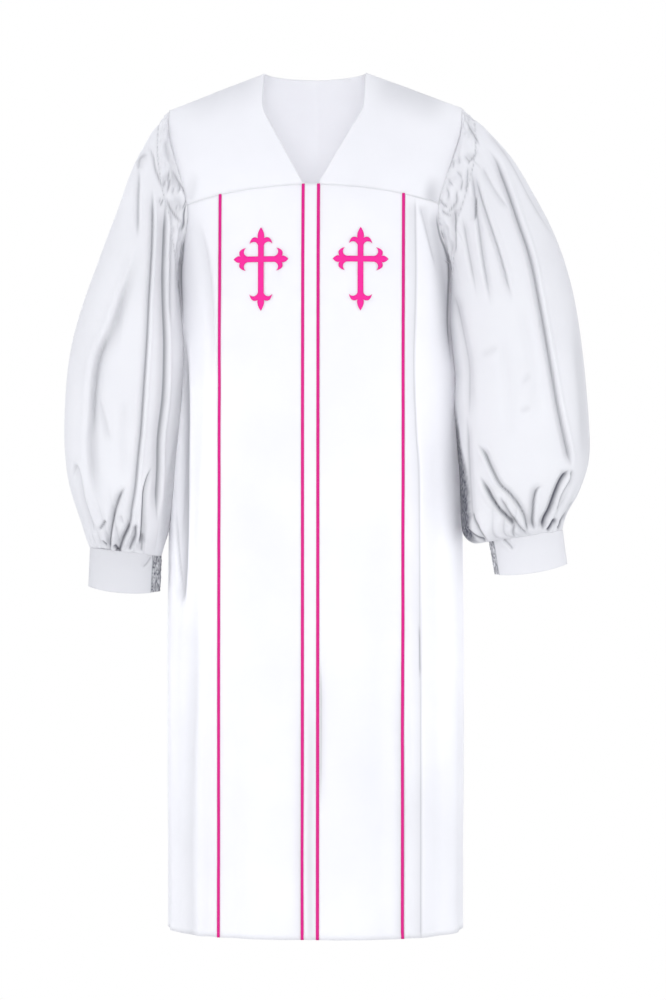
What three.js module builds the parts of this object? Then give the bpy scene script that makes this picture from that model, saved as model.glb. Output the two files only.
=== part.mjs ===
// A pulpit robe, hollow and filled out as when it is worn. Every piece is a closed wall of cloth:
// front and back yokes, two front panels beside a placket, pleated side fronts, a fluted back,
// gathered sleeves with a shirred head, cuffs, four lines of piping and two applied crosses.
// Millimetres. +X is to the wearer's left, +Y to the back, +Z up, and the origin lies between the
// shoulders, at the height where the yokes rest on them.
import * as THREE from "three";

const CLOTH = 2; // wall of the body and sleeves
const YOKE_CLOTH = 2.4; // two layers of cloth
const CUFF_CLOTH = 3; // two layers and a stiffener
const SEAM = 0.3; // space left between pieces that are sewn together

const HEM_Z = -1284;
const NECK_HALF = 78; // from the centre to the point where the neck edge meets the shoulder seam
const NECK_Z = 36;
const SHOULDER_SLOPE = 0.375;
const NECK_RISE = 0.975; // how steeply the yokes would go on rising inside the neck
const ARCH_Z = -190; // below this height the fronts and back hang straight
const ARCH_POWER = 1.7;
const OVAL_POWER = 2.4; // how square the body is in plan

const V_HALF = 12; // half the width of the V at its foot
const V_FOOT_Z = -145.5;
const V_SLOPE = 0.55;
const FRONT_SEAM = { centre: -147, drop: 26, at: 195 };
const BACK_SEAM = { centre: -132, drop: 14, at: 195 };
const SIDE_SEAM_ROUND = 90 - 0.03; // the bearing in degrees of the side seam's front edge
const ROUNDS_OF_SEARCH = 12; // enough for a point to settle where two curved seams cross

const PIPING_WIDTH = 4.4;
const PIPING_PROUD = 1.3;
const PIPING_WALL = 3;
const INNER_PIPING_X = 11.5;
const OUTER_PIPING_X = 139;

// The body's half width, and how far its front and back stand from the middle, at each height.
const BODY = [
  { z: 40, half: 240, front: 112, back: 104 },
  { z: -30, half: 238, front: 116, back: 106 },
  { z: -100, half: 228, front: 120, back: 108 },
  { z: -190, half: 214, front: 125, back: 110 },
  { z: -262, half: 212, front: 131, back: 113 },
  { z: -450, half: 218, front: 137, back: 119 },
  { z: -700, half: 228, front: 142, back: 126 },
  { z: -1000, half: 229, front: 148, back: 138 },
  { z: HEM_Z, half: 229, front: 153, back: 150 },
];

// How far the armhole seam is from the centre, in front and behind, from shoulder to underarm.
const ARMHOLE = [
  { z: -19, front: 226, back: 226 },
  { z: -60, front: 224, back: 224 },
  { z: -96, front: 214, back: 217 },
  { z: -137, front: 201, back: 208 },
  { z: -178, front: 191, back: 200 },
  { z: -210, front: 194, back: 200 },
  { z: -240, front: 203, back: 204.5 },
  { z: -255, front: 209.3, back: 209.3 },
  { z: -262, front: 212, back: 212 },
];
const UNDERARM_Z = -262;

// Folds of the body. round is the bearing in degrees from the centre front, positive to the
// wearer's left, and 180 at the centre back. A fold fades in from top to full and out from full to
// end, where it still has keep of its depth.
const BODY_FOLDS = [
  { round: 37.5, depth: -7, width: 3.2, top: -175, full: -900, end: HEM_Z, keep: 1 },
  { round: 43.5, depth: 9, width: 4, top: -170, full: -700, end: HEM_Z, keep: 1 },
  { round: 55, depth: -5, width: 5, top: -300, full: -800, end: HEM_Z, keep: 0.9 },
  { round: 68, depth: 4, width: 6, top: -500, full: -950, end: HEM_Z, keep: 1 },
  { round: 80, depth: -5, width: 5, top: -700, full: -1000, end: HEM_Z, keep: 1 },
  { round: 24, depth: -3, width: 4.5, top: -700, full: -1150, end: HEM_Z, keep: 0.8 },
  { round: 0, depth: -4, width: 4.2, top: -420, full: -900, end: HEM_Z, keep: 1 },
  { round: -26, depth: -4, width: 4, top: -760, full: -1180, end: HEM_Z, keep: 1 },
  { round: -38, depth: -5, width: 3, top: -175, full: -950, end: HEM_Z, keep: 1 },
  { round: -44, depth: 6, width: 3.6, top: -170, full: -700, end: HEM_Z, keep: 1 },
  { round: -62, depth: -10, width: 3.6, top: -330, full: -600, end: -800, keep: 0.2 },
  { round: -70, depth: 4, width: 4, top: -420, full: -640, end: -900, keep: 0.6 },
  { round: -79, depth: -5, width: 5, top: -700, full: -1000, end: HEM_Z, keep: 1 },
  { round: 101, depth: -7, width: 5, top: -560, full: -1000, end: HEM_Z, keep: 1 },
  { round: 113, depth: 6, width: 5, top: -300, full: -900, end: HEM_Z, keep: 1 },
  { round: 126, depth: -8, width: 5, top: -180, full: -800, end: HEM_Z, keep: 1 },
  { round: 138, depth: 7, width: 5, top: -160, full: -1000, end: HEM_Z, keep: 1 },
  { round: 150, depth: -9, width: 5, top: -150, full: -900, end: HEM_Z, keep: 1 },
  { round: 162, depth: 7, width: 5, top: -150, full: -700, end: HEM_Z, keep: 0.8 },
  { round: 173, depth: -8, width: 4.5, top: -145, full: -1000, end: HEM_Z, keep: 1 },
  { round: -175, depth: 6, width: 4.5, top: -145, full: -800, end: HEM_Z, keep: 1 },
  { round: -164, depth: -9, width: 5, top: -150, full: -900, end: HEM_Z, keep: 1 },
  { round: -152, depth: 7, width: 5, top: -150, full: -1050, end: HEM_Z, keep: 1 },
  { round: -139, depth: -8, width: 5, top: -160, full: -750, end: HEM_Z, keep: 0.8 },
  { round: -127, depth: 7, width: 5, top: -180, full: -900, end: HEM_Z, keep: 1 },
  { round: -114, depth: -7, width: 5, top: -300, full: -1000, end: HEM_Z, keep: 1 },
  { round: -102, depth: 5, width: 5, top: -560, full: -1000, end: HEM_Z, keep: 1 },
];
// The rows of the hanging cloth: at these turns around the armhole, then at these heights.
const ARMHOLE_TURNS = [101, 111, 121, 131, 141, 150, 158, 167, 174, 180];
const LOWER_LEVELS = [-350, -500, -680, -870, -1070, HEM_Z];
const LEAST_ROW = 5; // from the lowest point of a yoke seam to the first row below it

// Columns and rows of each piece's cloth.
const YOKE_COLUMNS = 9;
const YOKE_ROWS = 10;
const BACK_YOKE_ROWS = 9;
// Columns of the back yoke from its centre at 0 to the neck point at 1 and the armhole at 2.
const BACK_YOKE_COLUMNS = [0.25, 0.5, 0.75, 0.9, 1, 1.15, 1.35, 1.55, 1.7, 1.85, 2];
const PLACKET_COLUMNS = 3;
const PLACKET_LIFT = 0.6; // the placket lies over the closing
const PANEL_COLUMNS = 6;
const PIPING_COLUMNS = 2;
const SIDE_FRONT_COLUMNS = 13;
const BACK_COLUMNS = 36;
const CUFF_COLUMNS = 24;
const CUFF_ROWS = 3;
const BACK_NECK_DIP = 2; // the back neck edge is this much lower than the neck points

// Sections of each sleeve from the armhole at 0 to the cuff at 1: its outer and inner points in
// the front view, measured outwards from the centre, how far its front and back stand from
// middle, and how far the section has turned from the armhole's outline to an oval.
const SLEEVE_SECTIONS = {
  right: [
    { at: 0, outX: 226.7, outZ: -20, inX: 212.7, inZ: -261.6, middle: 0, front: 68, back: 62, oval: 0 },
    { at: 0.04, outX: 245, outZ: -50, inX: 216, inZ: -283, middle: -2, front: 73, back: 66, oval: 0.12 },
    { at: 0.08, outX: 262, outZ: -86, inX: 210, inZ: -308, middle: -6, front: 88, back: 76, oval: 0.5 },
    { at: 0.16, outX: 289, outZ: -138, inX: 200, inZ: -345, middle: -12, front: 98, back: 82, oval: 0.9 },
    { at: 0.28, outX: 323, outZ: -222, inX: 194, inZ: -395, middle: -18, front: 102, back: 86, oval: 1 },
    { at: 0.42, outX: 356, outZ: -318, inX: 196, inZ: -450, middle: -24, front: 103, back: 88, oval: 1 },
    { at: 0.56, outX: 379, outZ: -418, inX: 203, inZ: -510, middle: -30, front: 102, back: 90, oval: 1 },
    { at: 0.7, outX: 386, outZ: -515, inX: 210, inZ: -570, middle: -36, front: 100, back: 90, oval: 1 },
    { at: 0.82, outX: 378, outZ: -598, inX: 217, inZ: -625, middle: -40, front: 92, back: 84, oval: 1 },
    { at: 0.92, outX: 356, outZ: -664, inX: 226, inZ: -676, middle: -43, front: 68, back: 64, oval: 1 },
    { at: 1, outX: 344, outZ: -699, inX: 235, inZ: -710, middle: -45, front: 32, back: 32, oval: 1 },
  ],
  left: [
    { at: 0, outX: 226.7, outZ: -20, inX: 212.7, inZ: -261.6, middle: 0, front: 68, back: 62, oval: 0 },
    { at: 0.04, outX: 248, outZ: -47, inX: 216, inZ: -283, middle: -2, front: 73, back: 66, oval: 0.12 },
    { at: 0.08, outX: 278, outZ: -76, inX: 212, inZ: -308, middle: -5, front: 86, back: 76, oval: 0.5 },
    { at: 0.16, outX: 317, outZ: -122, inX: 208, inZ: -345, middle: -9, front: 96, back: 84, oval: 0.9 },
    { at: 0.28, outX: 362, outZ: -206, inX: 212, inZ: -398, middle: -15, front: 101, back: 88, oval: 1 },
    { at: 0.42, outX: 394, outZ: -300, inX: 220, inZ: -455, middle: -21, front: 103, back: 92, oval: 1 },
    { at: 0.56, outX: 411, outZ: -400, inX: 227, inZ: -515, middle: -27, front: 104, back: 94, oval: 1 },
    { at: 0.7, outX: 421, outZ: -505, inX: 233, inZ: -575, middle: -33, front: 103, back: 94, oval: 1 },
    { at: 0.8, outX: 422, outZ: -565, inX: 235, inZ: -625, middle: -37, front: 97, back: 90, oval: 1 },
    { at: 0.88, outX: 407, outZ: -612, inX: 237, inZ: -665, middle: -40, front: 82, back: 78, oval: 1 },
    { at: 0.95, outX: 388, outZ: -646, inX: 245, inZ: -688, middle: -43, front: 58, back: 54, oval: 1 },
    { at: 1, outX: 380, outZ: -672, inX: 268, inZ: -686, middle: -44, front: 32, back: 32, oval: 1 },
  ],
};

// Long folds of the sleeves. across runs from -1 at the inner side to 1 at the outer side of the
// face it is on, and the fold passes through its three values at from, halfway and to.
const SLEEVE_FOLDS = {
  right: [
    { face: "front", from: 0.06, to: 0.97, across: [-0.4, -0.66, -0.5], depth: -10, width: 0.11 },
    { face: "front", from: 0.06, to: 0.97, across: [-0.05, -0.34, -0.25], depth: -8, width: 0.1 },
    { face: "front", from: 0.1, to: 0.95, across: [0.15, 0.5, 0.4], depth: -13, width: 0.13 },
    { face: "front", from: 0.3, to: 0.85, across: [0.05, 0.08, 0.05], depth: 7, width: 0.2 },
    { face: "back", from: 0.05, to: 1, across: [0.45, 0.6, 0.5], depth: -11, width: 0.13 },
    { face: "back", from: 0.05, to: 0.9, across: [0, 0.15, 0.1], depth: -9, width: 0.12 },
    { face: "back", from: 0.1, to: 1, across: [-0.45, -0.3, -0.35], depth: -10, width: 0.12 },
  ],
  left: [
    { face: "front", from: 0.05, to: 0.95, across: [0.25, 0.58, 0.8], depth: -12, width: 0.12 },
    { face: "front", from: 0.05, to: 0.6, across: [-0.1, 0.1, 0.05], depth: -8, width: 0.1 },
    { face: "front", from: 0.06, to: 0.6, across: [-0.5, -0.4, -0.5], depth: -7, width: 0.11 },
    { face: "front", from: 0.5, to: 1, across: [-0.8, -0.55, -0.1], depth: -10, width: 0.11 },
    { face: "front", from: 0.35, to: 0.85, across: [0.1, 0.05, 0.1], depth: 8, width: 0.25 },
    { face: "back", from: 0.05, to: 1, across: [0.4, 0.62, 0.5], depth: -12, width: 0.13 },
    { face: "back", from: 0.05, to: 0.85, across: [0.05, 0.1, 0], depth: -9, width: 0.12 },
    { face: "back", from: 0.1, to: 1, across: [-0.4, -0.35, -0.3], depth: -9, width: 0.12 },
  ],
};
const SLEEVE_COLUMNS = 56;
const SLEEVE_LEVELS = [0, 0.02, 0.04, 0.065, 0.11, 0.18, 0.28, 0.4, 0.52, 0.64, 0.75, 0.84, 0.91, 0.96, 1];
const SLEEVE_CLEARANCE = 3; // from the body where the sleeve lies along it
const CLEAR_FROM = 0.05; // the part of the sleeve's length over which that clearance grows
const SLEEVE_OVAL_POWER = 2.3;
const SLEEVE_GAP = 0.8; // between the body's edge and the sleeve's first row

// How deep the small gathers are along a sleeve, and how many there are around its head and at its
// cuff. Their depth is uneven: it varies by a share of itself, in this many swings round the sleeve.
const HEAD_GATHERS = SLEEVE_COLUMNS / 2;
const CUFF_GATHERS = SLEEVE_COLUMNS / 4;
const UNEVEN = { share: 0.35, swings: 7.3 };
const GATHERS = [
  { at: 0, head: 0, cuff: 0 },
  { at: 0.02, head: 2.6, cuff: 0 },
  { at: 0.04, head: 1.2, cuff: 0 },
  { at: 0.065, head: 4.6, cuff: 0 },
  { at: 0.11, head: 6, cuff: 0 },
  { at: 0.18, head: 4.2, cuff: 0 },
  { at: 0.28, head: 2.4, cuff: 0 },
  { at: 0.4, head: 1, cuff: 0 },
  { at: 0.75, head: 0, cuff: 1 },
  { at: 0.84, head: 0, cuff: 3.5 },
  { at: 0.91, head: 0, cuff: 6 },
  { at: 0.96, head: 0, cuff: 5 },
  { at: 1, head: 0, cuff: 1.5 },
];

// The lower edge of each cuff, in the same columns as a sleeve section.
const CUFF_EDGES = {
  right: { outX: 347, outZ: -757, inX: 238, inZ: -765, middle: -41, front: 33, back: 33 },
  left: { outX: 387, outZ: -722, inX: 277, inZ: -738, middle: -41, front: 33, back: 33 },
};
const CUFF_DROOP = 6; // how far the front and back of the lower edge hang below its sides

// A cross: its place, its arms and bar, how far its curled petals start before the notch, how long
// the pointed petals are, and how far its two faces stand off the panel.
const CROSS = {
  x: 75, z: -261.5, up: 48.3, side: 41.6, down: 78, bar: 8.6,
  root: 11.5, endPetal: 16.3, sidePetal: 9.8, proud: 1.7, under: 0.5,
};
const POINTED_BEND = { along: 0.45, across: 6.4 }; // where a pointed petal's side bends, in its length
const CURVE_STEPS = 2; // straight pieces in each curve of a petal
// One curled petal, along the arm from the notch and across it: each row is a curve that bends
// towards one point and ends at the next.
const PETALS = [
  { bendAlong: -6.5, bendAcross: 5.5, along: -5.6, across: 10.5 },
  { bendAlong: -5.3, bendAcross: 14.5, along: -8.5, across: 17.3 },
  { bendAlong: 0.8, bendAcross: 15, along: 1.2, across: 10 },
  { bendAlong: 1.3, bendAcross: 6.8, along: -0.3, across: 4.6 },
];

const degrees = Math.PI / 180;
const mix = (a, b, share) => a + (b - a) * share;
const clamp = (value, low, high) => Math.min(high, Math.max(low, value));
const ease = (share) => {
  const s = clamp(share, 0, 1);
  return s * s * (3 - 2 * s);
};
const bump = (distance, width) => Math.exp(-((distance / width) ** 2));
const power = (value, exponent) => Math.sign(value) * Math.abs(value) ** exponent;

// Reads one column of a table at a place between its rows, along a smooth curve.
function read(rows, key, column, place) {
  const rising = rows[1][key] > rows[0][key];
  let i = 0;
  while (i < rows.length - 2 && (rising ? place > rows[i + 1][key] : place < rows[i + 1][key])) i++;
  const slope = (a, b) => (rows[b][column] - rows[a][column]) / (rows[b][key] - rows[a][key]);
  const chord = slope(i, i + 1);
  const start = i > 0 ? slope(i - 1, i + 1) : chord;
  const end = i < rows.length - 2 ? slope(i, i + 2) : chord;
  const span = rows[i + 1][key] - rows[i][key];
  const s = (place - rows[i][key]) / span;
  if (s < 0) return rows[i][column] + start * s * span;
  if (s > 1) return rows[i + 1][column] + end * (s - 1) * span;
  const rest = 1 - s;
  return (
    rows[i][column] * (1 + 2 * s) * rest * rest +
    rows[i + 1][column] * s * s * (3 - 2 * s) +
    span * (start * s * rest * rest - end * s * s * rest)
  );
}

const halfAt = (z) => read(BODY, "z", "half", z);

// The shoulder line, and the height that the yokes would reach inside the neck opening.
const ridgeZ = (x) =>
  NECK_Z + (NECK_HALF - Math.abs(x)) * (Math.abs(x) < NECK_HALF ? NECK_RISE : SHOULDER_SLOPE);
const seamZ = (seam, x) => seam.centre - seam.drop * (x / seam.at) ** 2;

// Half the width of the neck opening at a height: straight down from the shoulder, then a V.
function neckX(z) {
  const softness = 3;
  const slant = V_HALF + V_SLOPE * (z - V_FOOT_Z);
  return -softness * Math.log(Math.exp(-NECK_HALF / softness) + Math.exp(-slant / softness));
}

// The bearing of a point of the front that is x from the centre.
const roundOf = (x, z) =>
  Math.asin(clamp(Math.abs(x) / halfAt(z), 0, 1) ** (OVAL_POWER / 2)) * Math.sign(x) / degrees;

function bodyFold(round, z) {
  let sum = 0;
  for (const fold of BODY_FOLDS) {
    let away = Math.abs(round - fold.round);
    away = Math.min(away, 360 - away);
    if (away > 3 * fold.width) continue;
    const rise = ease((fold.top - z) / (fold.top - fold.full));
    const fade = mix(1, fold.keep, ease((fold.full - z) / (fold.full - fold.end)));
    sum += fold.depth * bump(away, fold.width) * rise * fade;
  }
  return sum;
}

// How far the front or back stands from the middle: it arches over to the shoulder line.
function bodyDepth(x, z, face) {
  const depth = read(BODY, "z", face, z);
  if (z <= ARCH_Z) return depth;
  const climb = clamp((z - ARCH_Z) / (ridgeZ(x) - ARCH_Z), 0, 1);
  return depth * (1 - climb ** ARCH_POWER) ** (1 / ARCH_POWER);
}

// A point of the body's outside at a bearing and height, moved out by lift.
function bodyPoint(round, z, lift = 0) {
  const face = Math.cos(round * degrees) < 0 ? "back" : "front";
  const half = halfAt(z);
  const x = half * power(Math.sin(round * degrees), 2 / OVAL_POWER);
  const depth = bodyDepth(x, z, face);
  const y = -depth * power(Math.cos(round * degrees), 2 / OVAL_POWER);
  const normalX = power(x / half, OVAL_POWER - 1) / half;
  const normalY = power(y / depth, OVAL_POWER - 1) / depth;
  const out = (lift + bodyFold(round, z)) / Math.hypot(normalX, normalY);
  return new THREE.Vector3(x + normalX * out, y + normalY * out, z);
}

// A point of a yoke: x from the centre, and climb from 0 at ARCH_Z to 90 degrees at the shoulder.
function yokePoint(x, climb, face) {
  const z = ARCH_Z + (ridgeZ(x) - ARCH_Z) * power(Math.sin(climb), 2 / ARCH_POWER);
  const side = clamp(Math.abs(x) / halfAt(z), 0, 1);
  const depth = read(BODY, "z", face, z) * (1 - side ** OVAL_POWER) ** (1 / OVAL_POWER);
  const y = depth * power(Math.cos(climb), 2 / ARCH_POWER) * (face === "front" ? -1 : 1);
  return new THREE.Vector3(x, y, z);
}

// The climb at which a yoke reaches a height, and the climb just short of the shoulder seam.
const climbTo = (x, z) =>
  Math.asin(clamp((z - ARCH_Z) / (ridgeZ(x) - ARCH_Z), 0, 1) ** (ARCH_POWER / 2));
function climbToRidge(x, face) {
  const side = clamp(Math.abs(x) / halfAt(ridgeZ(x)), 0, 0.99);
  const depth = read(BODY, "z", face, ridgeZ(x)) * (1 - side ** OVAL_POWER) ** (1 / OVAL_POWER);
  return Math.PI / 2 - (SEAM / 2 / depth) ** (ARCH_POWER / 2);
}

// The direction square to a surface point(u, v).
function normalOf(point, u, v) {
  const tiny = 1e-3;
  const alongU = point(u + tiny, v).sub(point(u - tiny, v));
  const alongV = point(u, v + tiny).sub(point(u, v - tiny));
  return alongU.cross(alongV).normalize();
}

// A closed wall of cloth under a surface point(u, v). us and vs are the places of its columns and
// rows. The inner side lies wall inside the outer one, away from outwards. A ring closes on itself.
// awayAt gives the way from a neighbour's edge, and the first row's wall never leans back over it.
function cloth({ name, point, us, vs, wall, outwards, awayAt, ring = false, material }) {
  const outer = [];
  const inner = [];
  let facing = 0;
  const normals = [];
  for (const v of vs)
    for (const u of us) {
      const at = point(u, v);
      const normal = normalOf(point, u, v);
      facing += normal.dot(outwards(at, v));
      outer.push(at);
      normals.push(normal);
    }
  const sign = Math.sign(facing);
  const columns = us.length;
  outer.forEach((at, i) => {
    const inwards = normals[i].clone().multiplyScalar(-sign);
    if (awayAt && i < columns) {
      const away = awayAt(us[i]);
      inwards.addScaledVector(away, Math.max(0, -inwards.dot(away))).normalize();
    }
    inner.push(at.clone().addScaledVector(inwards, wall));
  });
  const rows = vs.length;
  const index = [];
  const quad = (a, b, c, d) => index.push(a, b, c, a, c, d);
  const at = (i, j) => j * columns + (i % columns);
  const under = outer.length;
  const across = ring ? columns : columns - 1;
  for (let j = 0; j < rows - 1; j++)
    for (let i = 0; i < across; i++) {
      const [a, b, c, d] = [at(i, j), at(i + 1, j), at(i + 1, j + 1), at(i, j + 1)];
      quad(a, b, c, d);
      quad(under + d, under + c, under + b, under + a);
    }
  for (let i = 0; i < across; i++) {
    quad(at(i + 1, 0), at(i, 0), under + at(i, 0), under + at(i + 1, 0));
    const [a, b] = [at(i, rows - 1), at(i + 1, rows - 1)];
    quad(a, b, under + b, under + a);
  }
  if (!ring)
    for (let j = 0; j < rows - 1; j++) {
      quad(at(0, j), at(0, j + 1), under + at(0, j + 1), under + at(0, j));
      const [a, b] = [at(columns - 1, j), at(columns - 1, j + 1)];
      quad(b, a, under + a, under + b);
    }
  return mesh(name, [...outer, ...inner], sign > 0 ? index : index.reverse(), material);
}

function mesh(name, points, index, material) {
  const geometry = new THREE.BufferGeometry().setFromPoints(points);
  geometry.setIndex(index);
  geometry.computeVertexNormals();
  const made = new THREE.Mesh(geometry, material);
  made.name = name;
  return made;
}

const steps = (count, from = 0, to = 1) =>
  Array.from({ length: count + 1 }, (_, i) => mix(from, to, i / count));
const fromAxis = (at) => new THREE.Vector3(at.x, at.y, 0);

// The height of the armhole seam at a turn around the arm: 0 at the shoulder, 180 under the arm.
const armholeZ = (turn) =>
  mix(UNDERARM_Z, ridgeZ(ARMHOLE[0].front), (1 + Math.cos(turn * degrees)) / 2);

// The heights of the rows of cloth that hangs below a yoke seam.
function hangLevels(seam) {
  const belowSeam = (z) => z < seamZ(seam, seam.at) - LEAST_ROW;
  return [...ARMHOLE_TURNS.map(armholeZ).filter(belowSeam), ...LOWER_LEVELS];
}
const hangRows = (seam) => steps(hangLevels(seam).length, 0, hangLevels(seam).length);

// The height of a row: the seam itself at 0, then the levels in turn.
function hangZ(row, seam, x) {
  const heights = [seamZ(seam, x) - SEAM / 2, ...hangLevels(seam)];
  const i = clamp(Math.floor(row), 0, heights.length - 2);
  return mix(heights[i], heights[i + 1], row - i);
}

const whiteCloth = new THREE.MeshStandardMaterial({ color: 0xf6f6fa, roughness: 0.65, metalness: 0 });
const pinkTrim = new THREE.MeshStandardMaterial({ color: 0xf5389f, roughness: 0.45, metalness: 0 });

// Cloth that hangs between two distances from the centre of the front.
function hangingStrip(name, fromX, toX, columns, { lift = 0, wall = CLOTH, crown = 0, material }) {
  const point = (u, row) => {
    const x = mix(fromX, toX, u);
    const z = hangZ(row, FRONT_SEAM, x);
    return bodyPoint(roundOf(x, z), z, lift + crown * (1 - (2 * u - 1) ** 2));
  };
  const [us, vs] = [steps(columns), hangRows(FRONT_SEAM)];
  return cloth({ name, point, us, vs, wall, outwards: fromAxis, material });
}

function frontYoke(name, side) {
  const point = (u, v) => {
    let x = NECK_HALF;
    let climb = 0;
    for (let search = 0; search < ROUNDS_OF_SEARCH; search++) {
      const low = climbTo(x, seamZ(FRONT_SEAM, x) + SEAM / 2);
      climb = mix(low, climbToRidge(x, "front"), v);
      const z = yokePoint(x, climb, "front").z;
      x = mix(neckX(z), read(ARMHOLE, "z", "front", z), u);
    }
    return yokePoint(side * x, climb, "front");
  };
  const outwards = (at) => new THREE.Vector3(at.x, at.y, at.z - ARCH_Z);
  const [us, vs] = [steps(YOKE_COLUMNS), steps(YOKE_ROWS)];
  return cloth({ name, point, us, vs, wall: YOKE_CLOTH, outwards, material: whiteCloth });
}

function backYoke(name) {
  const neckEdge = (x) => NECK_Z - BACK_NECK_DIP * (1 - Math.min(1, Math.abs(x) / NECK_HALF) ** 4);
  const point = (u, v) => {
    let x = 0;
    let climb = 0;
    for (let search = 0; search < ROUNDS_OF_SEARCH; search++) {
      const low = climbTo(x, seamZ(BACK_SEAM, x) + SEAM / 2);
      const ridge = climbToRidge(x, "back");
      const high = Math.abs(x) < NECK_HALF ? Math.min(ridge, climbTo(x, neckEdge(x))) : ridge;
      climb = mix(low, high, v);
      const reach = read(ARMHOLE, "z", "back", yokePoint(x, climb, "back").z);
      const beyond = Math.abs(u) - 1;
      x = Math.sign(u) * (beyond < 0 ? NECK_HALF * Math.abs(u) : mix(NECK_HALF, reach, beyond));
    }
    return yokePoint(x, climb, "back");
  };
  const us = [...BACK_YOKE_COLUMNS.map((u) => -u).reverse(), 0, ...BACK_YOKE_COLUMNS];
  const vs = steps(BACK_YOKE_ROWS);
  const outwards = (at) => new THREE.Vector3(at.x, at.y, at.z - ARCH_Z);
  return cloth({ name, point, us, vs, wall: YOKE_CLOTH, outwards, material: whiteCloth });
}

// The bearing from the centre front, or from the centre back, at which the body ends: at the
// armhole above the underarm, else at the side seam.
function edgeRound(z, face) {
  if (z <= UNDERARM_Z) return SIDE_SEAM_ROUND;
  return Math.min(SIDE_SEAM_ROUND, roundOf(read(ARMHOLE, "z", face, z), z));
}

// A point of cloth that hangs below a seam, whose bearing at each height roundAt gives.
function hangingPoint(roundAt, row, seam) {
  let z = hangZ(row, seam, 0);
  for (let search = 0; search < ROUNDS_OF_SEARCH; search++) {
    const x = halfAt(z) * power(Math.abs(Math.sin(roundAt(z) * degrees)), 2 / OVAL_POWER);
    z = hangZ(row, seam, x);
  }
  return bodyPoint(roundAt(z), z);
}

function sideFront(name, side) {
  const startX = OUTER_PIPING_X + PIPING_WIDTH / 2 + SEAM;
  const point = (u, row) => {
    const roundAt = (z) => side * mix(roundOf(startX, z), edgeRound(z, "front"), u);
    return hangingPoint(roundAt, row, FRONT_SEAM);
  };
  const [us, vs] = [steps(SIDE_FRONT_COLUMNS), hangRows(FRONT_SEAM)];
  return cloth({ name, point, us, vs, wall: CLOTH, outwards: fromAxis, material: whiteCloth });
}

function back(name) {
  const point = (u, row) => hangingPoint((z) => 180 - u * edgeRound(z, "back"), row, BACK_SEAM);
  const [us, vs] = [steps(BACK_COLUMNS, -1, 1), hangRows(BACK_SEAM)];
  return cloth({ name, point, us, vs, wall: CLOTH, outwards: fromAxis, material: whiteCloth });
}

// The armhole seam at a turn around the arm, which is 90 in front and 270 behind.
function armhole(turn) {
  const face = Math.sin(turn * degrees) >= 0 ? "front" : "back";
  const z = armholeZ(turn);
  const x = Math.min(read(ARMHOLE, "z", face, z), halfAt(z));
  return { face, x, z };
}

function armholePoint(turn) {
  const { face, x, z } = armhole(turn);
  const narrowing = (1 - Math.min(1, x / halfAt(z)) ** OVAL_POWER) ** (1 / OVAL_POWER);
  const depth = bodyDepth(x, z, face) * narrowing;
  return new THREE.Vector3(x, face === "front" ? -depth : depth, z);
}

// The way along the body's surface from its edge at the armhole to the sleeve.
function awayFromBody(turn) {
  const { face, x, z } = armhole(turn);
  const onYoke = (across, climb) => yokePoint(across, climb, face);
  const onBody = (round, height) => bodyPoint(face === "front" ? round : 180 - round, height);
  const climb = Math.min(climbTo(x, z), climbToRidge(x, face));
  const round = Math.min(roundOf(x, z), SIDE_SEAM_ROUND);
  const normal = z > ARCH_Z ? normalOf(onYoke, x, climb) : normalOf(onBody, round, z);
  const along = armholePoint(turn + 1).sub(armholePoint(turn - 1));
  const away = normal.cross(along).normalize();
  const intoArm = new THREE.Vector3(halfAt(z), 0, armholeZ(90)).sub(armholePoint(turn));
  return away.multiplyScalar(Math.sign(away.dot(intoArm)));
}

// Moves a point that is inside the body, or too close to it, out to the given clearance.
function clearOfBody(at, clearance) {
  const face = at.y < 0 ? "front" : "back";
  let scale = 1;
  for (let search = 0; search < ROUNDS_OF_SEARCH; search++) {
    const x = at.x * scale;
    if (at.z > ridgeZ(x) - CLOTH) return at;
    const depth = bodyDepth(x, at.z, face);
    const share = ((at.x / halfAt(at.z)) ** OVAL_POWER + (Math.abs(at.y) / depth) ** OVAL_POWER);
    scale = share ** (-1 / OVAL_POWER);
  }
  const round = roundOf(at.x * scale, at.z);
  const surface = bodyPoint(face === "front" ? round : 180 - round, at.z, clearance);
  return Math.hypot(at.x, at.y) >= Math.hypot(surface.x, surface.y) ? at : surface;
}

// The curve that passes through three values at 0, a half and 1.
const through = ([start, middle, end], s) =>
  start * (1 - s) * (1 - 2 * s) + 4 * middle * s * (1 - s) - end * s * (1 - 2 * s);

// How much of a fold's depth there is along it: none at either end.
const foldEnds = (along) => Math.sin(Math.PI * along) ** 0.6;

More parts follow.
